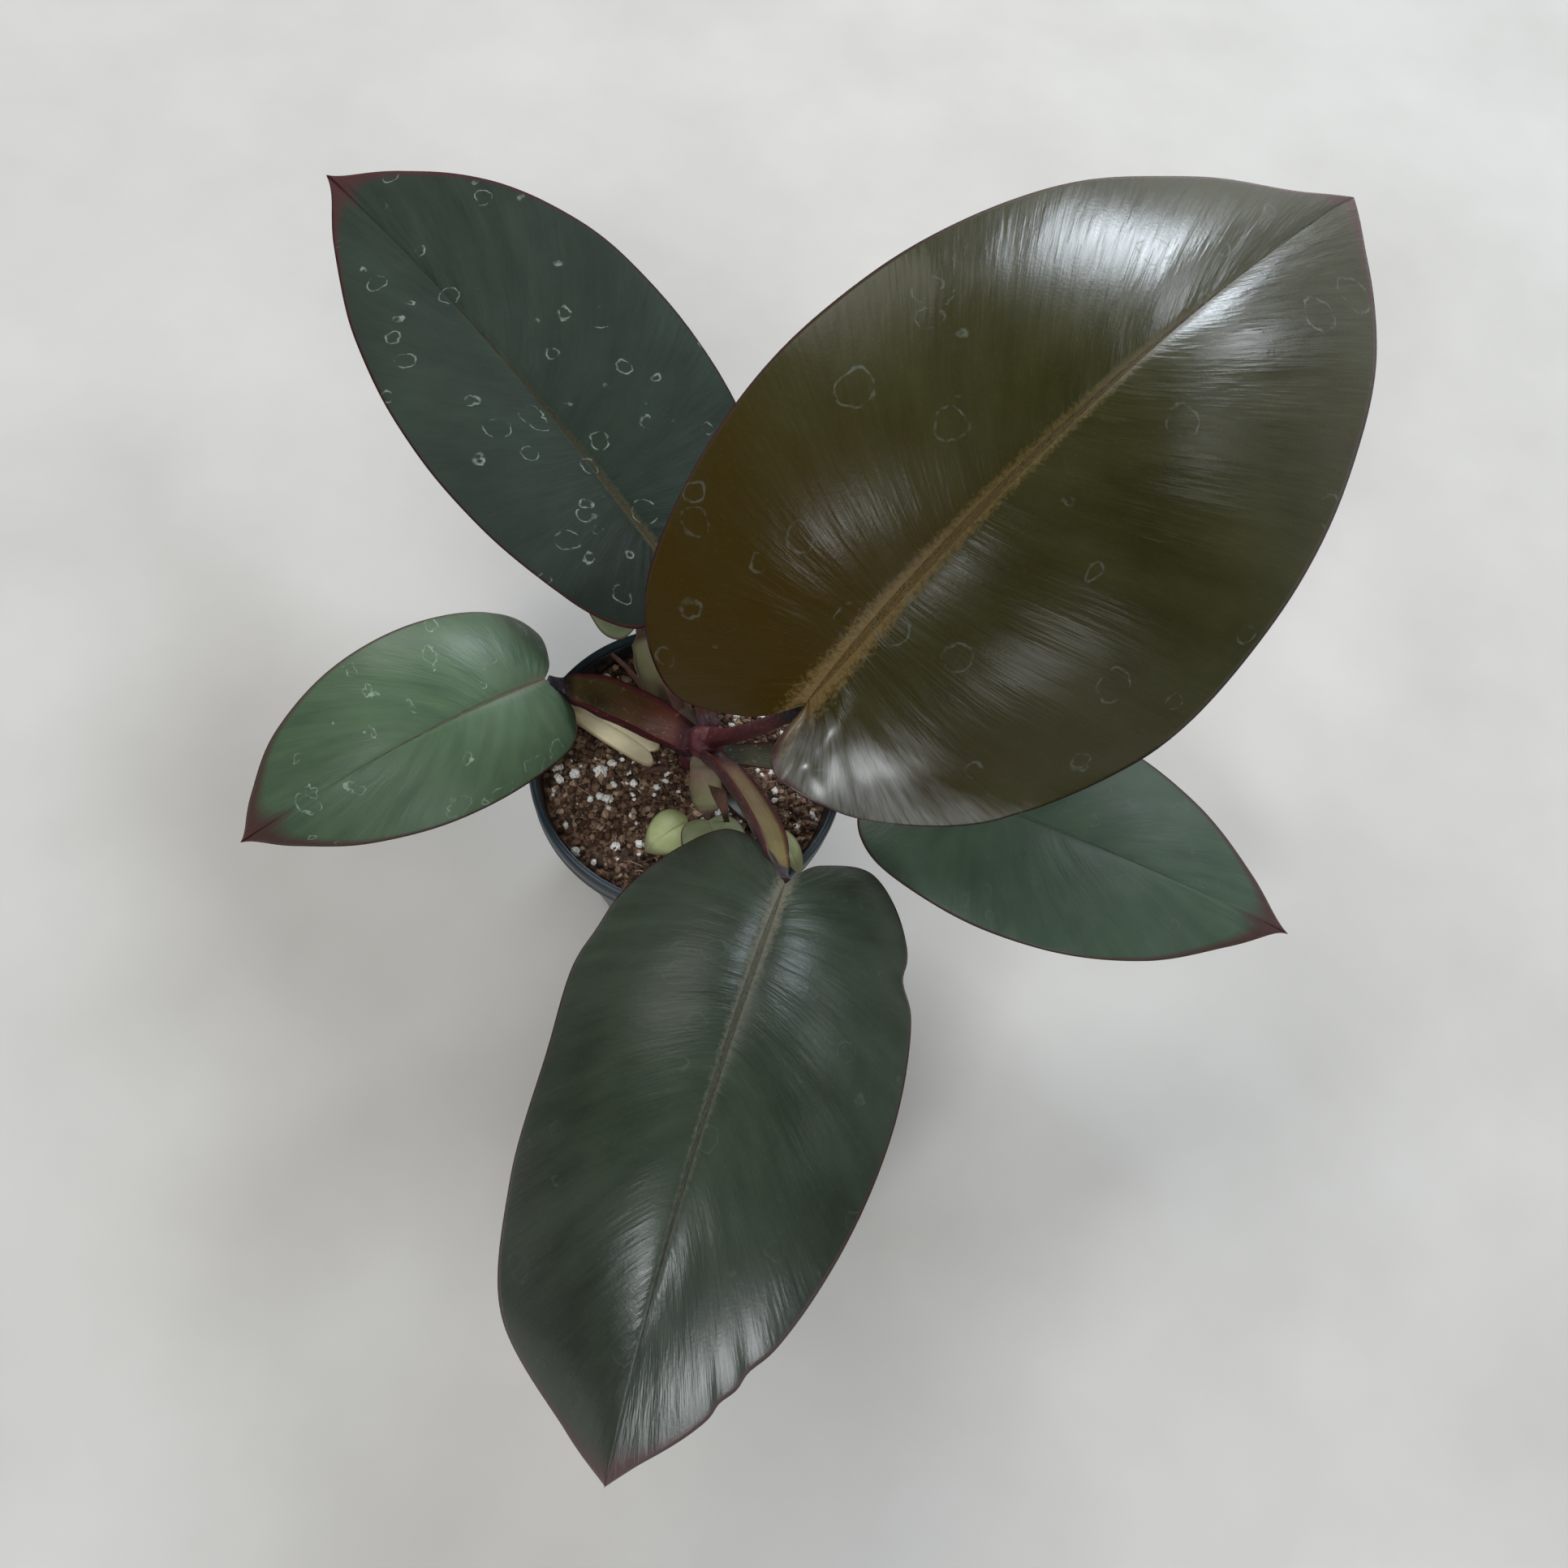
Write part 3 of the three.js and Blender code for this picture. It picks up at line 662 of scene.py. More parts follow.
# %% Finishes of the little leaves
sage = leaf_finish(
    "small_leaf", (0.19, 0.22, 0.115), (0.12, 0.145, 0.075), (0.20, 0.19, 0.11), (0.22, 0.24, 0.13),
    shine=0.48, gloss=0.3, streak=0.3, rib_width=1.2, rim=(0.09, 0.045, 0.035), fine=90, seed=11.0)
lime = leaf_finish(
    "pale_leaf", (0.34, 0.37, 0.18), (0.24, 0.28, 0.12), (0.30, 0.29, 0.14), (0.30, 0.31, 0.15),
    shine=0.5, gloss=0.3, streak=0.3, rib_width=1.0, rib_show=0.5, rim=(0.15, 0.14, 0.07), fine=80, seed=13.0)
straw = leaf_finish(
    "yellow_leaf", (0.72, 0.64, 0.42), (0.60, 0.50, 0.30), (0.74, 0.66, 0.47), (0.40, 0.33, 0.16),
    shine=0.62, gloss=0.25, streak=0.3, rib_width=1.0, rim=(0.26, 0.17, 0.09), fine=70, seed=15.0)
dusk = leaf_finish(
    "tiny_leaf", (0.03, 0.045, 0.022), (0.018, 0.026, 0.016), (0.08, 0.08, 0.04), (0.08, 0.09, 0.05),
    shine=0.45, streak=0.3, rib_width=0.6, fine=60, seed=17.0)

# %% [markdown]
# Each little leaf is placed by three points: its base, a point that pulls the midrib up into a
# crest, and its tip.

# %% The little leaves themselves
# a leaf's name and its node in the model, rows, cells and thickness in mm
for name, node, skin, slot, rows, cells, thickness, leaf in [
    ("small_back_leaf", "small_back_leaf_blade", sage, "green_leaf", 70, 16, 0.7,
     little((-27, 37, 109), (-40, 58, 120), (-58, 82, 107), 17, 8)),
    ("small_front_leaf", "small_front_leaf_blade", sage, "green_leaf", 70, 16, 0.7,
     little((12, -19.5, 83.5), (18, -33, 98), (24, -50, 91), 11, -8)),
    ("yellow_leaf", "yellow_leaf", straw, "yellow_leaf", 60, 14, 0.6,
     little((-14, 2, 82), (-28, 5, 92), (-47.5, 9, 86.5), 8, 6, 12)),
    ("round_leaf", "round_leaf", lime, "pale_leaf", 60, 14, 0.6,
     little((5, -20, 79.5), (0, -26, 85), (-7, -35, 80), 8.5, -10)),
    ("tiny_leaf", "tiny_leaf", dusk, "green_leaf", 40, 10, 0.5,
     little((17, -6, 79.5), (22, -10, 83), (29, -16, 79.5), 4, 10)),
    ("rim_leaf", "rim_leaf", lime, "pale_leaf", 40, 10, 0.5,
     little((33, -19, 81), (40, -24, 95), (47, -34, 89), 4.5, 8)),
]:
    blade(name, leaf, skin, [node], rows, cells, thickness)

# %% [markdown]
# ## Stalks and stem
# A leaf stalk is a channel: a round keel below, two thin wings above, and a dark round knee just
# under the blade. A tube with a bevel can't open into a channel, so each stalk is a row of
# sections along a smooth path. A section is a round outer arc and a shallower inner arc, and a
# table gives their width and depth along the way.


# %% Sections along a path
def path_at(points, s):
    """A smooth line through the points (centripetal Catmull-Rom), at s from 0 to 1."""
    points = np.array(points, float)
    points = np.concatenate([[2 * points[0] - points[1]], points, [2 * points[-1] - points[-2]]])
    spans = len(points) - 3
    spot = np.clip(s, 0, 1) * spans
    i = np.minimum(spot.astype(int), spans - 1)
    w = (spot - i)[:, None]
    p = [points[i + k] for k in range(4)]
    knots = [np.zeros((len(s), 1))]
    for k in range(3):
        gap = np.linalg.norm(p[k + 1] - p[k], axis=1)[:, None] ** 0.5
        knots.append(knots[-1] + np.maximum(gap, 1e-6))
    at = knots[1] + w * (knots[2] - knots[1])

    def blend(a, b, first, last):
        """The line from a to b, where a is at one knot and b at another."""
        return ((knots[last] - at) * a + (at - knots[first]) * b) / (knots[last] - knots[first])

    for span in (1, 2):
        p = [blend(p[k], p[k + 1], k, k + span) for k in range(len(p) - 1)]
    return blend(p[0], p[1], 1, 2)


def smooth_table(table, s):
    """Width, depth and hollow along the path, eased between the rows of the table."""
    table = np.array(table, float)
    i = np.clip(np.searchsorted(table[:, 0], s, side="right") - 1, 0, len(table) - 2)
    k = np.clip((s - table[i, 0]) / (table[i + 1, 0] - table[i, 0]), 0, 1)
    k = (k * k * (3 - 2 * k))[:, None]
    return table[i, 1:] * (1 - k) + table[i + 1, 1:] * k


def stalk(name, path, table, material, nodes, *, roll=0.0, steps=90, sides=48, above=(0, 0, 1),
          rough=0.0, lip=0.0, ring=None):
    """A channel-shaped stalk; lip thickens the wings' edges, ring adds scars along the length."""
    s = np.linspace(0, 1, steps + 1)
    centre = path_at(path, s)
    forward = np.gradient(centre, axis=0)
    forward /= np.linalg.norm(forward, axis=1)[:, None]
    side = np.cross(forward, above)
    side /= np.linalg.norm(side, axis=1)[:, None]
    over = np.cross(side, forward)
    c, d = math.cos(roll), math.sin(roll)
    side, over = c * side + d * over, c * over - d * side
    width, depth, hollow = smooth_table(table, s).T
    angle = np.linspace(0, 2 * np.pi, sides, endpoint=False)
    keel = angle < np.pi
    bow = np.where(keel, np.sin(angle), np.sin(2 * np.pi - angle))
    reach = np.cos(angle)
    hollow = np.minimum(hollow, depth - 0.9)
    drop = np.where(keel[None, :], depth[:, None], hollow[:, None]) * bow[None, :]
    if lip:
        edge = np.exp(-(((1 - np.abs(reach)) / 0.06) ** 2))
        open_ = np.clip(hollow / np.maximum(depth, 0.1), 0, 1)[:, None]
        drop = drop + np.where(keel, -1, 1)[None, :] * lip * -edge[None, :] * open_ * 0.5
    across = width[:, None] * reach[None, :]
    if ring is not None:
        swell = 1 + ring(s)[:, None]
        across, drop = across * swell, drop * swell
    rows = centre[:, None, :] + across[..., None] * side[:, None, :] - drop[..., None] * over[:, None, :]
    points = rows.reshape(-1, 3)
    if rough:
        outward = points - np.repeat(centre, sides, axis=0)
        outward /= np.maximum(np.linalg.norm(outward, axis=1), 1e-6)[:, None]
        points = points + (rough * ripple(points, 7, len(name), 3))[:, None] * outward
    faces = net(steps + 1, sides, ring=True)
    ends = [tuple(range(sides)), tuple(range(steps * sides, (steps + 1) * sides))[::-1]]
    marks = {
        "along": np.repeat(s, sides),
        "inside": np.tile((~keel).astype(float), steps + 1),
        "wing": np.tile(np.abs(reach), steps + 1),
        "turn": np.tile(angle, steps + 1),
        "open": np.repeat(np.clip(hollow / np.maximum(depth, 0.1), 0, 1), sides),
    }
    made = piece(name, points, [*faces[:, ::-1].tolist(), *ends], material, nodes=nodes, marks=marks)
    length = np.linalg.norm(np.diff(centre, axis=0), axis=1).sum()
    print(name, "length mm", round(float(length)))
    return made


def winged(width, neck, deep=0.5):
    """A narrow clasping base, an open channel and a round neck: place, half width, depth, hollow."""
    return [
        (0, 0.66 * width, 0.62 * width, -0.4 * width),
        (0.16, 0.78 * width, 0.74 * width, 0.1 * width),
        (0.4, width, 0.85 * width, deep * width),
        (0.62, 0.97 * width, 0.85 * width, deep * width),
        (0.82, 0.72 * width, 0.66 * width, 0.6 * deep * width),
        (0.93, neck + 0.6, neck + 0.5, -0.4 * neck),
        (1, neck, neck, -neck),
    ]


# %% [markdown]
# The skin of a stalk is smooth and glossy. The keel is burgundy, the channel is olive with a red
# flush near the stem, the wings end in a dark red line and the knee is nearly black. The number
# saved along the stalk and the one saved across it drive all of that.


# %% One stalk finish, made in several colours
def stalk_finish(name, keel, channel, flush, knee, *, shine=0.3, gloss=0.35, edge=(0.06, 0.010, 0.012),
                 bare=False, seed=0.0):
    """Glossy stalk skin: keel outside, channel inside, flush near the stem, knee under the blade."""
    m = finish(name, keel, shine, specular=gloss)
    mark = marks_in(m, "along", "inside", "wing", "open", "turn")
    spot = spot_in(m)
    clouds = grain(m, 120, 4, spot)
    lined = add(m, "CombineXYZ", X=times(m, mark["turn"], 14.0), Y=times(m, mark["along"], 5.0), Z=seed)
    threads = add(m, "TexNoise", Vector=lined, Scale=1.0, Detail=3.0)
    outer = mixed(m, step(m, clouds, 0.35, 0.7), keel, tuple(0.55 * v for v in keel))
    if not bare:
        away = sums(m, "ADD", mark["along"], scaled(m, clouds, 0.4, -0.2))
        inner = mixed(m, step(m, away, 0.15, 0.6), flush, channel)
        inner = mixed(m, step(m, threads, 0.4, 0.75, 0.5), inner, tuple(0.6 * v for v in channel))
        opened = step(m, mark["open"], 0.05, 0.3)
        outer = mixed(m, times(m, mark["inside"], opened), outer, inner)
        outer = mixed(m, times(m, step(m, mark["wing"], 0.9, 0.985), opened), outer, edge)
    outer = mixed(m, step(m, mark["along"], 0.80, 0.92), outer, knee)
    specks = step(m, grain(m, 700, 2, spot), 0.62, 0.75, 0.35)
    shade(m, "Base Color", mixed(m, specks, outer, (0.30, 0.20, 0.17)))
    shade(m, "Roughness", scaled(m, threads, 0.3, scaled(m, clouds, 0.2, shine - 0.22)))
    low = relief(m, threads, 0.00025)
    shade(m, "Normal", relief(m, grain(m, 900, 2, spot), 0.00006, below=low))
    return m


# %% [markdown]
# The big leaves' stalks run from burgundy to nearly black, and the little leaves' stalks are
# green. The four colours are the keel, the channel, the flush near the stem and the knee.

# %% Finishes of the stalks
burgundy = stalk_finish(
    "big_stalk", (0.085, 0.018, 0.022), (0.10, 0.05, 0.02), (0.09, 0.02, 0.02), (0.010, 0.006, 0.009),
    shine=0.28)
front_skin = stalk_finish(
    "front_stalk", (0.062, 0.026, 0.034), (0.185, 0.145, 0.045), (0.12, 0.036, 0.026), (0.020, 0.010, 0.014),
    seed=2.0)
boat_skin = stalk_finish(
    "left_stalk", (0.030, 0.013, 0.019), (0.058, 0.042, 0.014), (0.090, 0.016, 0.014), (0.012, 0.008, 0.013),
    shine=0.47, gloss=0.1, seed=4.0)
green_skin = stalk_finish(
    "green_stalk", (0.115, 0.105, 0.060), (0.20, 0.19, 0.10), (0.16, 0.085, 0.065), (0.07, 0.035, 0.022),
    shine=0.46, edge=(0.20, 0.13, 0.09), seed=6.0)
# The right leaf's stalk is painted very dark as painted shade, since it lies in shade.
painted_shade_stalk_skin = stalk_finish(
    "right_stalk", (0.020, 0.020, 0.013), (0.030, 0.045, 0.020), (0.036, 0.026, 0.014), (0.012, 0.008, 0.013),
    shine=0.55, gloss=0.15, seed=5.0)
stem_skin = stalk_finish(
    "stem", (0.095, 0.026, 0.034), (0.1, 0.03, 0.03), (0.1, 0.03, 0.03), (0.085, 0.022, 0.026), shine=0.38,
    bare=True, seed=8.0)

# %% [markdown]
# The big leaf's stalk is round all along and the others open into a channel. The front and left
# ones are also rolled about their own line, to turn the channel the right way.

# %% Stalks
STOUT = [
    (0, 5.2, 4.6, -3.5), (0.25, 3.3, 3.1, -2.3), (0.8, 2.5, 2.5, -2.4), (0.92, 3.1, 3.1, -3),
    (1, 2.3, 2.3, -2.3),
]
# roll in radians about the stalk's own line, thickness of the lip in mm, sections, path
for name, skin, slot, roll, lip, table, path in [
    ("big_leaf_stalk", burgundy, "purple_stalk", 0.0, 0.0, STOUT,
     [(4, 6, 93), (13, 1.5, 109), (25, -4, 133), (34.5, -6, 151.9)]),
    ("front_leaf_stalk", front_skin, "purple_stalk", 0.78, 0.5, winged(7.2, 2.5, 0.55),
     [(6, 4, 90), (17, -9, 107), (34, -37, 128), (41.2, -58.4, 137.6)]),
    ("left_leaf_stalk", boat_skin, "purple_stalk", -0.25, 0.5, winged(9, 2.4, 0.72),
     [(5, 4, 90), (-11, 5, 102), (-31, 3, 115), (-48, -1.2, 121.7)]),
    ("upper_leaf_stalk", front_skin, "purple_stalk", 0.0, 0.4, winged(5, 2.3),
     [(6, 7.5, 90), (-1, 22, 104), (-13, 39, 118), (-23.8, 52.5, 125.8)]),
    ("right_leaf_stalk", painted_shade_stalk_skin, "purple_stalk", 0.0, 0.4, winged(5.2, 2.3),
     [(7, 5, 85), (26, 6, 92), (55, 7, 97), (77.8, 6, 97.9)]),
    ("small_back_leaf_stalk", green_skin, "green_stalk", 0.0, 0.4, winged(7, 1.6),
     [(2, 8, 81), (-10, 18, 90), (-20, 28, 101), (-26.4, 35.8, 107.6)]),
    ("small_front_leaf_stalk", green_skin, "green_stalk", 0.0, 0.4, winged(5.6, 1.3),
     [(4.5, 0, 93), (7.5, -8, 92), (10, -14, 88), (11.6, -18.2, 83)]),
]:
    stalk(name, path, table, skin, [name], roll=roll, lip=lip)


# %% [markdown]
# The stem is a short upright rod with the rings that fallen leaves leave behind.


# %% Stem
def scars(s):
    """Rings where older stalks sat."""
    return 0.07 * np.exp(-(((s % 0.22) - 0.11) / 0.02) ** 2)


stalk("stem", [(3, 7, 58), (3, 7, 74), (4, 4.5, 88), (5, 3, 101)],
      [(0, 5, 5, -5), (0.4, 7, 7, -7), (0.75, 7, 7, -7), (0.92, 5, 5, -5), (1, 1.5, 1.5, -1.5)],
      stem_skin, ["stem"], above=(0, 1, 0), rough=0.25, ring=scars)

# %% [markdown]
# ## Pot
# The pot is moulded in thin dark plastic. It is turned: one outline spins about the upright
# axis. The rim has a rounded lip with two fine lines, a stiff band hangs below it, and the foot
# has a ring of drain holes. The holes are cut with cylinders in a Boolean modifier, which is
# then applied so that the piece is a plain closed mesh.


# %% Turned pieces
def turned(outline, segments):
    """Points and faces of an outline [(radius, height)] spun about the upright axis."""
    outline = np.array(outline, float)
    around = np.linspace(0, 2 * np.pi, segments, endpoint=False)
    r, z = outline[:, 0][:, None], outline[:, 1][:, None]
    points = np.stack([r * np.cos(around), r * np.sin(around), z + 0 * around], -1).reshape(-1, 3)
    points, faces, _ = welded(points, net(len(outline), segments, ring=True))
    return points, faces


def rounded(corners, radius=0.6, steps=4):
    """An outline with its corners rounded."""
    corners = [np.array(c, float) for c in corners]
    out = [corners[0]]
    for before, here, after in zip(corners, corners[1:], corners[2:]):
        back, fore = before - here, after - here
        r = min(radius, 0.4 * np.linalg.norm(back), 0.4 * np.linalg.norm(fore))
        start = here + back / np.linalg.norm(back) * r
        end = here + fore / np.linalg.norm(fore) * r
        for k in np.linspace(0, 1, steps + 1):
            out.append((1 - k) ** 2 * start + 2 * k * (1 - k) * here + k * k * end)
    return [*out, corners[-1]]


FOOT_AND_WALL = [(0, 0), (33.5, 0), (34.5, 1), (51, 73)]
BAND = [(54, 73.4), (54.25, 75.5), (54.0, 76), (54.75, 82), (54.55, 82.4), (55, 83.6)]
LIP = [(54.4, 84.9), (53.4, 84.75), (52.6, 84.9), (52.1, 84.1), (52.0, 82.6), (51.6, 82.2)]
INSIDE = [(49.7, 73), (33.2, 2.6), (32.2, 1.8), (0, 1.8)]
pot_outline = rounded(FOOT_AND_WALL + BAND + LIP + INSIDE)
pot_points, pot_faces = turned(pot_outline, 160)
print("pot outline points:", len(pot_outline))

# %% [markdown]
# The plastic is satin slate-blue; its inside is painted near black as painted shade. Watering has left
# a film of soil inside the mouth, thickest near the mix, and fine scuffs run round the whole pot.

# %% Pot finish
plastic = finish("pot_plastic", (0.014, 0.024, 0.034), 0.38, specular=0.45)
spot = spot_in(plastic)
parts = add(plastic, "SeparateXYZ", Vector=spot)
flat = add(plastic, "CombineXYZ", X=parts.outputs[0], Y=parts.outputs[1])
radius = add(plastic, "VectorMath", {"operation": "LENGTH"}, i0=flat).outputs["Value"]
level = times(plastic, parts.outputs[2], 1000.0)
wall = sums(plastic, "MINIMUM", scaled(plastic, level, 0.229, 33.6), 51.9)  # mid-wall radius, mm
past_wall = sums(plastic, "SUBTRACT", times(plastic, radius, 1000.0), wall)
inner = ramp(plastic, sums(plastic, "ADD", past_wall, 0.5), [(0.45, 1.0), (0.55, 0.0)])
dirt = times(plastic, step(plastic, grain(plastic, 260, 5, spot), 0.42, 0.62), inner)
near_mix = ramp(plastic, sums(plastic, "DIVIDE", level, 100.0), [(0.76, 1.0), (0.85, 0.15)])
dirt = times(plastic, dirt, near_mix)
cloudy = step(plastic, grain(plastic, 60, 4, spot), 0.35, 0.7)
tone = mixed(plastic, cloudy, (0.012, 0.021, 0.029), (0.024, 0.036, 0.046))
# painted shade: the inside of the wall is painted near black, much darker than the outside
tone = mixed(plastic, inner, tone, (0.006, 0.008, 0.009))
shade(plastic, "Base Color", mixed(plastic, dirt, tone, (0.045, 0.026, 0.016)))
banded = add(plastic, "Mapping", Vector=spot, Scale=(1, 1, 14))
scuffs = add(plastic, "TexNoise", Vector=banded, Scale=90.0, Detail=4.0)
shade(plastic, "Roughness", scaled(plastic, scuffs, 0.3, scaled(plastic, dirt, 0.3, 0.2)))
scratches = relief(plastic, scuffs, 0.00004)
shade(plastic, "Normal", relief(plastic, dirt, 0.0003, below=scratches))

# %% [markdown]
# One drill mesh holds eight cylinders, so a single cut opens all the drain holes.

# %% Pot body and its drain holes
pot = piece("pot", pot_points, pot_faces, plastic, nodes=["pot"])
drill_points, drill_faces = [], []
for k in range(8):
    centre = np.array([27 * math.cos(k * math.pi / 4), 27 * math.sin(k * math.pi / 4), 0])
    ring_points, ring_faces = turned([(0, -3), (4, -3), (4, 6), (0, 6)], 32)
    drill_faces += [[c + len(drill_points) for c in f] for f in ring_faces]
    drill_points += (ring_points + centre).tolist()
drill_mesh = bpy.data.meshes.new("drill")
drill_mesh.from_pydata((np.array(drill_points) * MM).tolist(), [], drill_faces)
drill = bpy.data.objects.new("drill", drill_mesh)
bpy.context.scene.collection.objects.link(drill)


def cut(target, tool):
    """Cuts the tool's shape out of a piece and removes the tool."""
    cutter = target.modifiers.new("cut", "BOOLEAN")
    cutter.operation = "DIFFERENCE"
    cutter.solver = "EXACT"
    cutter.object = tool
    bpy.context.view_layer.update()
    solid = bpy.data.meshes.new_from_object(target.evaluated_get(bpy.context.evaluated_depsgraph_get()))
    target.modifiers.clear()
    target.data = solid
    bpy.data.objects.remove(tool)


cut(pot, drill)
pot.data.set_sharp_from_angle(angle=math.radians(35))
print("pot faces:", len(pot.data.polygons))

# %% [markdown]
# ## Potting mix
# The mix is a bed of damp peat with coir fibres, bark crumbs and white perlite. The bed is a
# turned block whose top has a fine grid, pushed up and down by several sizes of waves. Real
# crumbs, fibres and grains lie on it, because at this scale a flat texture looks like paint.


# %% The bed
def ground(x, y):
    """Height of the mix at a place, in millimetres, without the finest lumps."""
    r = np.hypot(x, y)
    spots = np.stack([x, y, 0 * x], -1).reshape(-1, 3)
    slope = 76.9 - 1.4 * np.clip(r / 50, 0, 1) ** 2
    lumps = 0.75 * ripple(spots, 24, 3) + 0.45 * ripple(spots, 7, 4, 3)
    return slope + lumps.reshape(np.shape(x)) + 1.1 * np.exp(-(((x - 30) ** 2 + (y + 12) ** 2) / 260))


rings, segments = 90, 240
around = np.linspace(0, 2 * np.pi, segments, endpoint=False)
out = np.linspace(0, 1, rings + 1)[:, None] ** 0.85 * 50.1
top_x, top_y = out * np.cos(around), out * np.sin(around)
spots = np.stack([top_x, top_y, 0 * top_x], -1).reshape(-1, 3)
fine = 0.35 * ripple(spots, 2.6, 21, 2) + 0.2 * ripple(spots, 1.3, 22, 2)
top_z = ground(top_x, top_y) + fine.reshape(top_x.shape) * (out < 50)
walls = [(49.3, 73), (32.7, 3.4), (31.5, 2.3), (0, 2.3)]
bed = np.stack([top_x, top_y, top_z], -1).reshape(-1, 3)
side_points = np.array([[r * math.cos(a), r * math.sin(a), z] for r, z in walls for a in around])
bed_net = net(rings + 1 + len(walls), segments, ring=True)
bed_points, bed_faces, _ = welded(np.concatenate([bed, side_points]), bed_net)

# %% [markdown]
# The bed's colour is noise in three browns, with mossy patches and a few paler cells. Noise made
# in space needs no unwrapping, and it never repeats.

# %% Finish of the bed
soil = finish("potting_mix", (0.028, 0.016, 0.010), 0.85, specular=0.3)
spot = spot_in(soil)
crumbs = add(soil, "TexVoronoi", {"feature": "F1"}, Vector=spot, Scale=750.0)
patches = grain(soil, 55, 4, spot)
tone = ramp(soil, grain(soil, 420, 6, spot),
            [(0.34, (0.020, 0.011, 0.007)), (0.5, (0.095, 0.054, 0.034)), (0.68, (0.25, 0.16, 0.105))])
tone = mixed(soil, step(soil, patches, 0.55, 0.72, 0.5), tone, (0.040, 0.042, 0.016))
dice = add(soil, "SeparateColor", Color=crumbs.outputs["Color"]).outputs[0]
tone = mixed(soil, step(soil, dice, 0.86, 0.93, 0.6), tone, (0.22, 0.13, 0.085))
shade(soil, "Base Color", tone)
shade(soil, "Roughness", ramp(soil, patches, [(0.3, 0.62), (0.7, 0.95)]))
lumps = relief(soil, crumbs.outputs["Distance"], 0.0008)
shade(soil, "Normal", relief(soil, grain(soil, 900, 6, spot), 0.0006, below=lumps))
outward = [list(reversed(f)) for f in bed_faces]
piece("potting_mix", bed_points, outward, soil, nodes=["potting_mix"])
print("mix top points:", len(bed))


# %% [markdown]
# Crumbs and perlite are small lumps. A lump starts as a ball of triangles and is then squashed,
# dented and turned at random, from a seeded source, so that it comes out the same each time.


# %% Lumps
def ball(level):
    """An icosphere on the unit radius."""
    work = bmesh.new()
    bmesh.ops.create_icosphere(work, subdivisions=level, radius=1)
    points = np.array([v.co for v in work.verts])
    faces = np.array([[v.index for v in f.verts] for f in work.faces])
    work.free()
    return points, faces


def turn_at_random(source):
    """A random rotation."""
    axis = source.normal(size=3)
    return np.array(Matrix.Rotation(source.uniform(0, 6.28), 3, Vector(axis).normalized()))


def clear_of_stem(x, y):
    """True for places away from the stem."""
    return math.hypot(x - 3, y - 7) > 8


INSIDE_WALL = 49.0  # radius of the mix's open top, mm


def heap(count, sizes, level, dent, sink, source):
    """Many lumps lying on the mix, as one set of points and faces, with a shade for each lump.
    level is how finely a lump is divided, dent how uneven it is and sink how high it lies."""
    shape, tris = ball(level)
    all_points, all_faces, shades = [], [], []
    while len(all_points) < count:
        x, y = source.uniform(-INSIDE_WALL, INSIDE_WALL, 2)
        if math.hypot(x, y) > INSIDE_WALL or not clear_of_stem(x, y):
            continue
        size = source.uniform(*sizes) * source.uniform(0.6, 1)
        form = shape * (1 + dent * ripple(shape * 3 + source.uniform(0, 50, 3), 2.6, 31, 2))[:, None]
        squash = np.array([1, source.uniform(0.6, 1), source.uniform(0.45, 0.9)])
        form = form * squash @ turn_at_random(source).T
        height = float(ground(np.array([x]), np.array([y]))[0])
        lump = form * size + np.array([x, y, height + sink * size])
        all_faces.append(tris + len(all_points) * len(shape))
        all_points.append(lump)
        shades.append(np.full(len(shape), source.uniform()))
    return np.concatenate(all_points), np.concatenate(all_faces), np.concatenate(shades)


# %% [markdown]
# Bark crumbs come in many browns. Each lump carries one number that picks its own shade from a
# ramp, so one material does for thousands of them.

# %% Crumbs
bark = finish("bark_crumbs", (0.05, 0.03, 0.018), 0.8, specular=0.3)
own = marks_in(bark, "shade")["shade"]
mottle = grain(bark, 500, 4)
tone = ramp(bark, own, [(0.0, (0.022, 0.012, 0.008)), (0.4, (0.10, 0.054, 0.034)),
                        (0.75, (0.23, 0.135, 0.085)), (1.0, (0.42, 0.30, 0.20))])
shade(bark, "Base Color", mixed(bark, step(bark, mottle, 0.4, 0.7, 0.6), tone, (0.018, 0.010, 0.007)))
shade(bark, "Roughness", ramp(bark, mottle, [(0.3, 0.6), (0.7, 0.95)]))
shade(bark, "Normal", relief(bark, mottle, 0.0004))
CRUMBS = 3000
source = np.random.default_rng(5)
points, faces, shades = heap(CRUMBS, (0.45, 2.3), level=1, dent=0.25, sink=0.1, source=source)
piece("mix_crumbs", points, faces, bark, marks={"shade": shades}, smooth=False)
print("crumbs:", CRUMBS)

# %% [markdown]
# Perlite is puffed volcanic glass, chalk white and full of pits. Six large grains have their
# place in the model; small ones, up to about four millimetres across, lie all over the mix.

# %% Perlite
chalk = finish("perlite", (0.80, 0.79, 0.75), 0.9, specular=0.2)
pits = add(chalk, "TexVoronoi", {"feature": "F1"}, Vector=spot_in(chalk), Scale=1500.0).outputs["Distance"]
stain = grain(chalk, 260, 4)
tone = ramp(chalk, pits, [(0.1, (0.42, 0.39, 0.34)), (0.5, (0.84, 0.83, 0.79))])
shade(chalk, "Base Color", mixed(chalk, step(chalk, stain, 0.5, 0.75, 0.55), tone, (0.34, 0.25, 0.17)))
shade(chalk, "Roughness", ramp(chalk, stain, [(0.3, 0.8), (0.7, 1.0)]))
shade(chalk, "Normal", relief(chalk, pits, 0.0004))
LARGE_GRAINS, SMALL_GRAINS = 6, 240
shape, tris = ball(4)
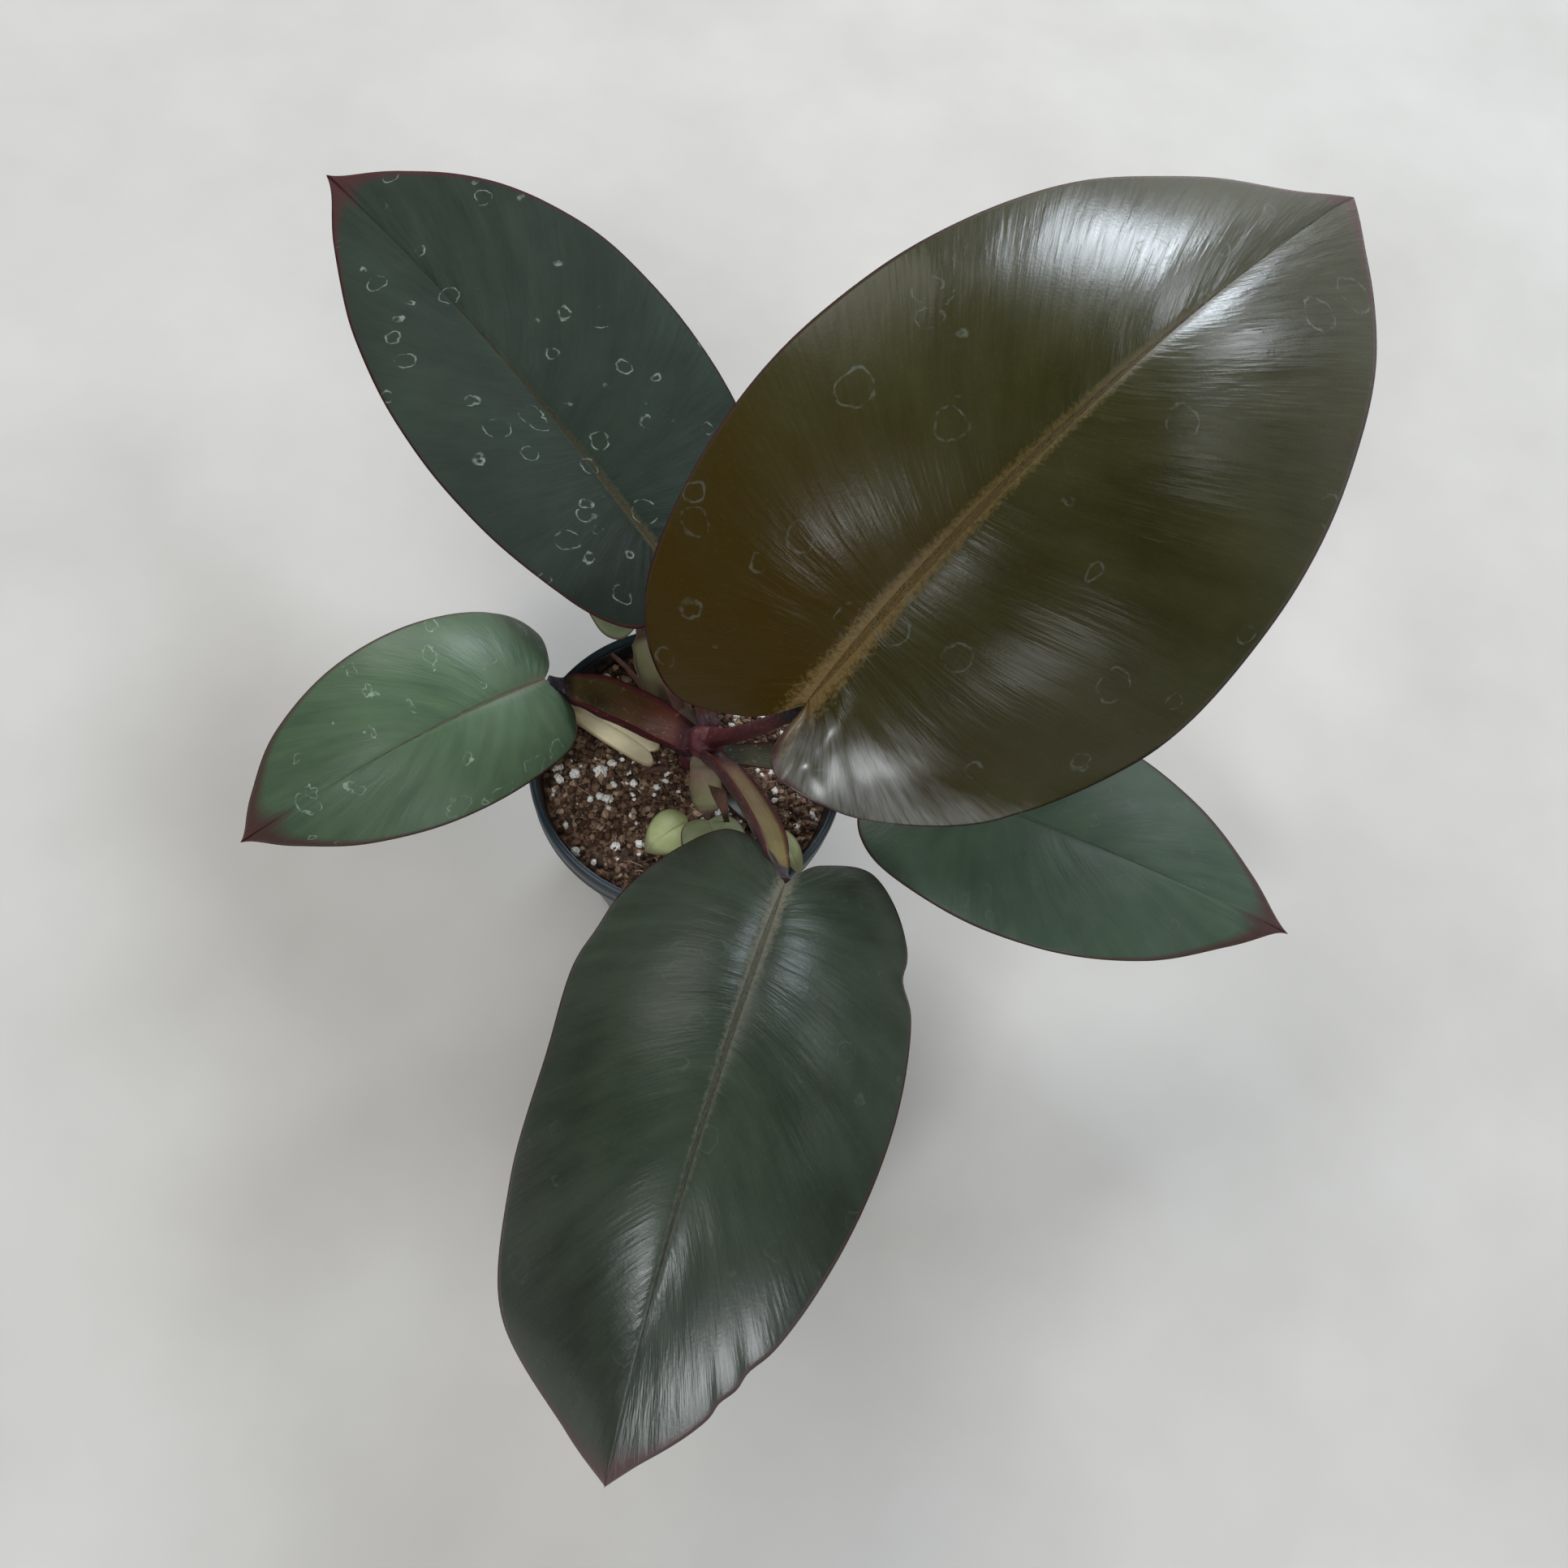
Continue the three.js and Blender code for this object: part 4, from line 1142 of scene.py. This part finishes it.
for k in range(1, LARGE_GRAINS + 1):
    low, high = (np.array(corner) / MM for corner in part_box(f"perlite_{k}"))
    form = shape * (1 + 0.16 * ripple(shape * 3 + 9 * k, 2.4, 40 + k, 3))[:, None]
    form = form * (high - low) / 2 * 1.02 + (low + high) / 2 + [0, 0, 0.4]
    piece(f"perlite_lump_{k}", form, tris, chalk, nodes=[f"perlite_{k}"])
source = np.random.default_rng(8)
points, faces, _ = heap(SMALL_GRAINS, (0.4, 2.0), level=2, dent=0.2, sink=0.35, source=source)
piece("perlite_specks", points, faces, chalk)
print("perlite grains:", LARGE_GRAINS + SMALL_GRAINS)


# %% [markdown]
# Coir fibres and root hairs lie in all directions. Each is a thin bent tube with five sides.


# %% Fibres
def tube(points, radius, sides=5):
    """A thin closed tube along a path, narrowing to its ends."""
    forward = np.gradient(points, axis=0)
    forward /= np.linalg.norm(forward, axis=1)[:, None]
    side = np.cross(forward, [0.3, 0.2, 1])
    side /= np.linalg.norm(side, axis=1)[:, None]
    over = np.cross(side, forward)
    angle = np.linspace(0, 2 * np.pi, sides, endpoint=False)
    thin = radius * (0.35 + 0.65 * np.sin(np.linspace(0.08, np.pi - 0.08, len(points))))[:, None, None]
    c, s = np.cos(angle)[None, :, None], np.sin(angle)[None, :, None]
    rows = points[:, None] + thin * (c * side[:, None] + s * over[:, None])
    faces = [*net(len(points), sides, ring=True).tolist(), list(range(sides))[::-1],
             list(range((len(points) - 1) * sides, len(points) * sides))]
    return rows.reshape(-1, 3), faces


def fibres(count, lengths, radii, source):
    """Bent fibres lying on the mix, with a shade for each."""
    all_points, all_faces, shades, used = [], [], [], 0
    while len(shades) < count:
        x, y = source.uniform(-47, 47, 2)
        if math.hypot(x, y) > 46 or not clear_of_stem(x, y):
            continue
        length = source.uniform(*lengths)
        heading = source.uniform(0, 6.28)
        bend = source.normal() * 0.9
        steps = 9
        angles = heading + bend * np.linspace(-0.5, 0.5, steps)
        line = np.cumsum(np.stack([np.cos(angles), np.sin(angles)], 1) * length / steps, axis=0) + [x, y]
        reach = np.hypot(line[:, 0], line[:, 1])
        if reach.max() > 48:
            continue
        arch = np.sin(np.linspace(0, np.pi, steps)) * source.uniform(0, 0.12) * length
        height = ground(line[:, 0], line[:, 1]) + 0.3 + arch
        points, faces = tube(np.column_stack([line, height]), source.uniform(*radii))
        all_faces += [[c + used for c in f] for f in faces]
        all_points.append(points)
        shades.append(np.full(len(points), source.uniform()))
        used += len(points)
    return np.concatenate(all_points), all_faces, np.concatenate(shades)


# %% [markdown]
# A few hundred fibres are enough to cover the mix. Their shades come from a number too.

# %% Fibres on the mix
coir = finish("coir_fibres", (0.10, 0.055, 0.03), 0.7, specular=0.3)
own = marks_in(coir, "shade")["shade"]
tone = ramp(coir, own, [(0.0, (0.03, 0.015, 0.010)), (0.6, (0.13, 0.07, 0.045)),
                        (0.85, (0.26, 0.17, 0.11)), (1.0, (0.42, 0.33, 0.23))])
mottle = step(coir, grain(coir, 800, 2), 0.4, 0.7, 0.5)
shade(coir, "Base Color", mixed(coir, mottle, tone, (0.03, 0.016, 0.01)))
FIBRES = 420
points, faces, shades = fibres(FIBRES, (3, 13), (0.09, 0.26), np.random.default_rng(13))
piece("mix_fibres", points, faces, coir, marks={"shade": shades})
print("fibres:", FIBRES)

# %% [markdown]
# ## Dry stalks and roots
# Two old leaf stalks lie on the mix, two dry sheaths stand by the stem, and roots spread inside.
# The roots keep the shape they have in the model and get a finish of their own.

# %% Old stalks and roots
withered = stalk_finish("dry_stalk", (0.11, 0.055, 0.035), (0.1, 0.05, 0.03), (0.1, 0.05, 0.03),
                        (0.05, 0.025, 0.016), shine=0.7, bare=True)
pinkish = stalk_finish("old_stalk", (0.24, 0.12, 0.09), (0.2, 0.1, 0.08), (0.2, 0.1, 0.08),
                       (0.12, 0.06, 0.04), shine=0.6, bare=True)
for name, skin, nodes, steps, sides, rough, table, path in [
    ("dry_stalk", withered, ["dry_stalk"], 40, 16, 0.14, [(0, 1.1, 1.1, -1.1), (1, 0.8, 0.8, -0.8)],
     [(-6, -1.5, 78.6), (-10, -2.5, 78.8), (-14, -5, 78.8), (-18.5, -9, 78.2)]),
    ("old_stalk", pinkish, ["old_stalk"], 50, 16, 0.14, [(0, 1.2, 1.2, -1.2), (1, 0.8, 0.8, -0.8)],
     [(-8, 12, 79.5), (-17, 20, 82.5), (-27, 29, 85), (-36, 35.5, 84)]),
    ("dry_sheath", withered, [], 40, 24, 0.12, [(0, 1.6, 1.2, 0.2), (0.5, 2.4, 1.6, 1.0), (1, 0.9, 0.9, 0)],
     [(8.5, -1, 84), (11.5, -8, 89), (15.5, -15, 91), (18.5, -20, 86.5)]),
    ("pale_sheath", pinkish, [], 40, 24, 0.12, [(0, 1.7, 1.3, 0.2), (0.5, 2.2, 1.5, 0.9), (1, 0.8, 0.8, 0)],
     [(-2, 13, 82), (-8, 19, 88), (-14, 26, 94), (-17, 31, 97)]),
]:
    stalk(name, path, table, skin, nodes, steps=steps, sides=sides, rough=rough)
cream = finish("root_skin", (0.62, 0.52, 0.34), 0.6, specular=0.3)
mottle = grain(cream, 300, 4)
shade(cream, "Base Color", ramp(cream, mottle, [(0.35, (0.42, 0.30, 0.17)), (0.65, (0.68, 0.58, 0.40))]))
shade(cream, "Normal", relief(cream, mottle, 0.0002))
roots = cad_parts["roots"]
roots.data.materials.clear()
roots.data.materials.append(cream)
print("roots finished")
